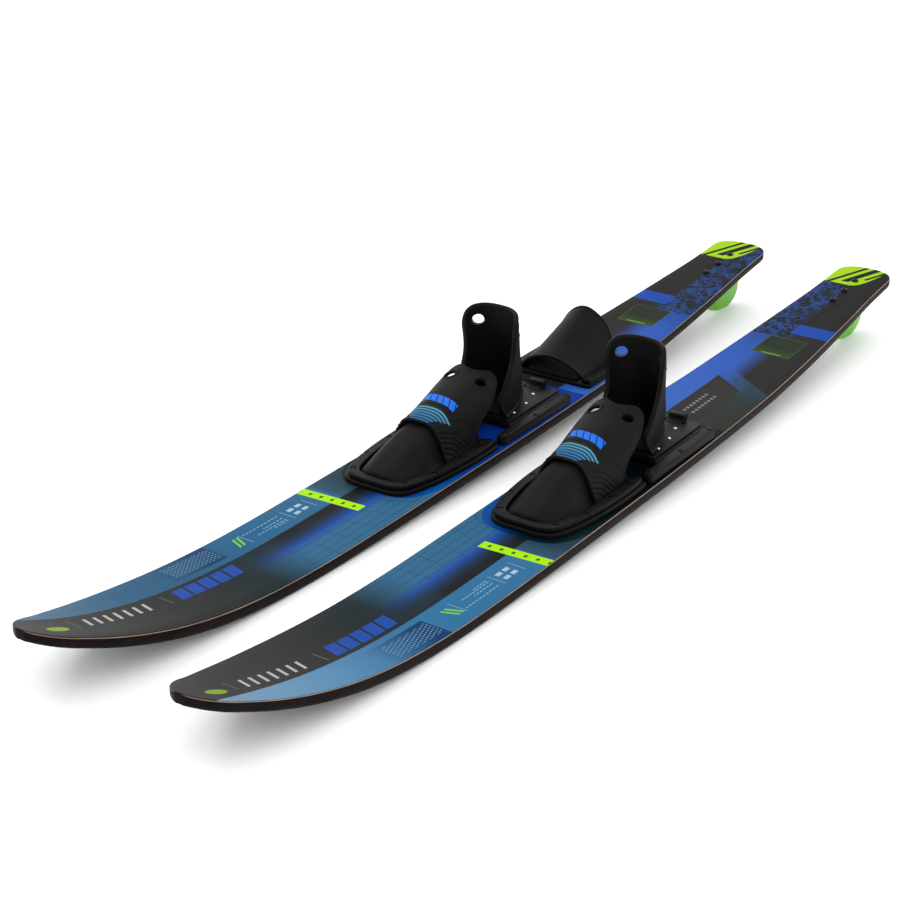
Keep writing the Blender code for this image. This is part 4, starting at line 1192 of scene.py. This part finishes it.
def rubber_pieces(places):
    """Toe covers, instep wraps and heel cups: each shape is made once and shared by both skis."""
    left = places["left"]
    points = cover_points()
    cover = skin("left_cover", points, RUBBER, LOOKS["rubber"], left, cover_relief(points), RUBBER_FOOT)
    wrap = wrap_mesh("left_wrap", wrap_look("left", left), left)
    cup = cup_mesh("left_cup", left)
    printed = wrap_look("right", places["right"])
    for item, look, body, node in ((cover, LOOKS["rubber"], "_ski", "_toe_cover"),
                                   (wrap, printed, "_ski", "_instep_wrap"),
                                   (cup, LOOKS["rubber"], "_heel", "_heel_cup")):
        other = copy_of(item, item.name.replace("left", "right"), look, places["right"])
        stands_for(item, "left" + body, "rubber", "left" + node)
        stands_for(other, "right" + body, "rubber", "right" + node)


# ---- heel binding ----------------------------------------------------------------------------
def cup_points():
    """Outer face of the heel cup: rows are levels and columns run round the heel."""
    runs = spaced(0.15, 0.0014)
    parts = 1 - 2 * spaced(0.25, 0.0013)
    run, part = np.meshgrid(runs, parts, indexing="ij")
    level = CUP_BASE + (curve(CUP_TOP, np.abs(part)) - CUP_BASE) * run
    front = curve(CUP_FRONT, level)
    x, back = arch(curve(CUP_WIDTH, level), curve(CUP_REAR, level) - front, curve(CUP_POWER, level), part)
    return np.stack([x.reshape(run.shape), along(front + back.reshape(run.shape)), level], axis=-1)


def cup_mesh(name, place):
    """The heel cup with a rolled rim, a foot lip, raised rings and two finger holes."""
    points = cup_points()
    z = points[..., 2]
    base = np.clip((z - CUP_BASE) / 0.02, 0, 1)
    rim = np.minimum(np.minimum(away(points, points[-1:]), away(points, points[:, :1])),
                     away(points, points[:, -1:]))
    relief = ridge(rim - 0.0024, 0.0022, 0.0012) + ridge(rim - 0.0068, 0.0010, -0.0005)
    relief += ridge(z - CUP_BASE, 0.0028, 0.0030) * (1 - base)
    x, level = CUP_HOLE
    for sign in (1, -1):
        beyond = np.hypot(points[..., 0] - sign * x, z - level) - FINGER_RADIUS
        relief += ridge(beyond - 0.0022, 0.0015, 0.0009)
    item = skin(name, points, CUP_WALL, LOOKS["rubber"], place, relief, CUP_BASE)
    inner, outer = (0.45 * x, along(0.905), level), (1.5 * x, along(0.985), level)
    return finger_holes(item, inner, outer, LOOKS["rubber"], place)


def rail(side, number, sign, place):
    """A side rail with its groove and recessed screws."""
    inner = sign * (RAIL_X - RAIL_HALF_WIDTH)
    outer = sign * (RAIL_X + RAIL_HALF_WIDTH)
    low = (min(inner, outer), along(RAIL_START))
    high = (max(inner, outer), along(RAIL_END))
    item = slab(f"{side}_side_rail_{number}", box_outline(low, high, RAIL_CORNER), GAP, RAIL_TOP,
                LOOKS["nylon"], place, RAIL_EDGE, steps=5)
    near, far = sorted((inner - sign * 0.002, inner + sign * GROOVE_DEPTH))
    front, rear = along(RAIL_START + GROOVE_STOP), along(RAIL_END + GROOVE_STOP)
    corners = ((near, front), (far, front), (far, rear), (near, rear))
    rings = [[(x, y, z) for x, y in corners] for z in (GROOVE_BOTTOM, GROOVE_TOP)]
    groove = loft("cutter", rings, LOOKS["nylon"], place)
    places = [(sign * (RAIL_X + RAIL_SCREW_OFFSET), station) for station in RAIL_SCREW_STATIONS]
    heads = recessed(item, places, RAIL_TOP, RAIL_RECESS, place, [groove])
    stands_for(item, side + "_ski", "nylon", f"{side}_rail_{number}")
    made = screws(f"{side}_rail_screws_{number}", heads, RAIL_SCREW, LOOKS["black_screw"], place)
    first = 3 * (number - 1) + 1
    stands_for(made, side + "_ski", "black_screw", *[f"{side}_rail_screw_{first + k}" for k in range(3)])


def heel_binding(side, place):
    """Rails, sliding plate with its screws, foam pad and latch."""
    rail(side, 1, 1, place)
    rail(side, 2, -1, place)
    plate = refined(side + "_slide_plate", side + "_heel_plate", LOOKS["nylon"], 0.0009)
    stands_for(plate, side + "_heel", "nylon", side + "_heel_plate")
    heads = [(sign * x, s, HEEL_PLATE_TOP) for x, s in PLATE_SCREWS for sign in (1, -1)]
    made = screws(side + "_plate_screws", heads, PLATE_SCREW, LOOKS["steel"], place)
    stands_for(made, side + "_heel", "steel")
    foam_pad(side + "_heel_foam", mirrored(HEEL_PAD, 6), HEEL_PLATE_TOP + GAP, HEEL_PAD_TOP, PAD_EDGE, place,
             side + "_heel", side + "_heel_pad")
    lever = refined(side + "_latch_lever_fine", side + "_latch", LOOKS["nylon"], 0.0007)
    stands_for(lever, side + "_latch_lever", "nylon", side + "_latch")
    for node, look in (("_latch_pin", "steel"), ("_index_strip", "nylon")):
        mesh = frame["nodes"][side + node].data
        mesh.materials.clear()
        mesh.materials.append(LOOKS[look].material)


# ---- rear toe piece --------------------------------------------------------------------------
def hood_mesh(place):
    """The rear toe piece's rubber hood, with a rolled front rim and rear rim."""
    runs = spaced(0.115, 0.0013)
    parts = spaced(0.20, 0.0013) * 2 - 1
    run, part = np.meshgrid(runs, parts, indexing="ij")
    front = curve(HOOD_FRONT, np.abs(part))
    station = front + (curve(HOOD_REAR, np.abs(part)) - front) * run
    x, up = arch(HOOD_HALF_WIDTH, curve(HOOD_HEIGHT, station), HOOD_POWER, part)
    points = np.stack([x.reshape(run.shape), along(station), REAR_PLATE_TOP + GAP + up.reshape(run.shape)],
                      axis=-1)
    front_edge, rear_edge = away(points, points[:1]), away(points, points[-1:])
    relief = ridge(front_edge - 0.0018, 0.0017, 0.0010) + ridge(rear_edge - 0.0020, 0.0020, 0.0012)
    relief += ridge(rear_edge - 0.0065, 0.0009, -0.0006) + ridge(front_edge - 0.0060, 0.0009, -0.0005)
    return skin("right_rear_hood", points, RUBBER, LOOKS["rubber"], place, relief)


def rear_toe_piece(place):
    """Base plate, pad, hood, clamps and screws."""
    body = "right_ski"
    outline = box_outline((-REAR_PLATE_HALF_WIDTH, along(REAR_PLATE_FRONT)),
                          (REAR_PLATE_HALF_WIDTH, along(REAR_PLATE_REAR)), REAR_PLATE_CORNER)
    plate = slab("right_rear_plate", outline, GAP, REAR_PLATE_TOP, LOOKS["nylon"], place, REAR_PLATE_EDGE)
    stands_for(plate, body, "nylon", "right_rear_toe_plate")
    outline = box_outline((-REAR_PAD_HALF_WIDTH, along(REAR_PAD_FRONT)),
                          (REAR_PAD_HALF_WIDTH, along(REAR_PAD_REAR)), REAR_PLATE_CORNER)
    foam_pad("right_rear_pad", outline, REAR_PLATE_TOP + GAP, REAR_PAD_TOP, PAD_EDGE, place, body,
             "right_rear_toe_pad")
    stands_for(hood_mesh(place), body, "rubber", "right_rear_toe_hood")
    heads = []
    for number, sign in enumerate((1, -1), 1):
        near, far = sorted((sign * REAR_CLAMP_INNER, sign * REAR_CLAMP_OUTER))
        low = (near, along(REAR_PLATE_FRONT + REAR_CLAMP_INSET))
        high = (far, along(REAR_PLATE_REAR - REAR_CLAMP_INSET))
        outline = box_outline(low, high, REAR_CLAMP_CORNER)
        clamp = slab(f"right_rear_clamp_{number}", outline, REAR_PLATE_TOP + GAP, REAR_CLAMP_TOP,
                     LOOKS["nylon"], place, CLAMP_EDGE, steps=5)
        places = [((near + far) / 2, station) for station in REAR_SCREW_STATIONS]
        heads += recessed(clamp, places, REAR_CLAMP_TOP, REAR_RECESS, place)
        stands_for(clamp, body, "nylon", f"right_rear_toe_clamp_{number}")
    made = screws("right_rear_screws", heads, REAR_SCREW, LOOKS["black_screw"], place)
    stands_for(made, body, "black_screw", *[f"right_rear_toe_screw_{k}" for k in (1, 2, 3, 4)])


# ---- studio ----------------------------------------------------------------------------------
def camera():
    """The camera of the main view."""
    data = bpy.data.cameras.new("camera")
    data.lens = CAMERA_LENS
    data.sensor_width = 36
    data.shift_x, data.shift_y = CAMERA_SHIFT
    data.clip_end = 60
    item = added("camera", data)
    item.location = CAMERA_PLACE
    item.rotation_euler = [math.radians(angle) for angle in CAMERA_TURN]
    bpy.context.scene.camera = item


def area_light(name, place, target, size, power):
    """A round soft lamp that faces a target."""
    data = bpy.data.lights.new(name, "AREA")
    data.shape = "DISK"
    data.size = size
    data.energy = power
    item = added(name, data)
    item.location = place
    item.rotation_euler = (Vector(target) - Vector(place)).to_track_quat("-Z", "Y").to_euler()


def studio():
    """A pale floor under an even white sky, with soft lamps from the left and the back."""
    world = bpy.data.worlds.new("studio")
    world.use_nodes = True
    sky = world.node_tree.nodes["Background"].inputs
    sky["Color"].default_value = (1.0, 1.0, 1.0, 1)
    sky["Strength"].default_value = SKY_STRENGTH
    bpy.context.scene.world = world
    area_light("key", (-1.9, -0.7, 2.4), (0, 0, 0), 1.1, 14)
    area_light("back", (0.4, 2.8, 1.5), (0, 0.2, 0.1), 1.2, 8)
    look = Look("floor")
    cloud = look.noise(1.5, 3.0, 0.5)
    look.set(Base_Color=look.ramp(cloud, [(0.3, "f1f1f1"), (0.7, "f6f6f6")]), Roughness=cloud * 0.1 + 0.55)
    corners = [(FLOOR_SIZE * a, FLOOR_SIZE * b, 0) for a, b in ((-1, -1), (1, -1), (1, 1), (-1, 1))]
    floor = make("floor", corners, [(0, 1, 2, 3)], look, Matrix.Translation((0, 0, -FLOOR_GAP)))
    bpy.context.scene.view_settings.view_transform = "Standard"


def main():
    """Builds the studio and every visual piece."""
    camera()
    studio()
    bindings = {}
    for side, shift in (("left", 0.0), ("right", RIGHT_BINDING_SHIFT)):
        place = ski_place(side)
        bindings[side] = shifted(place, shift)
        ski(side, place)
        toe_binding(side, bindings[side])
        heel_binding(side, bindings[side])
    rubber_pieces(bindings)
    rear_toe_piece(shifted(ski_place("right"), REAR_TOE_SHIFT))


main()
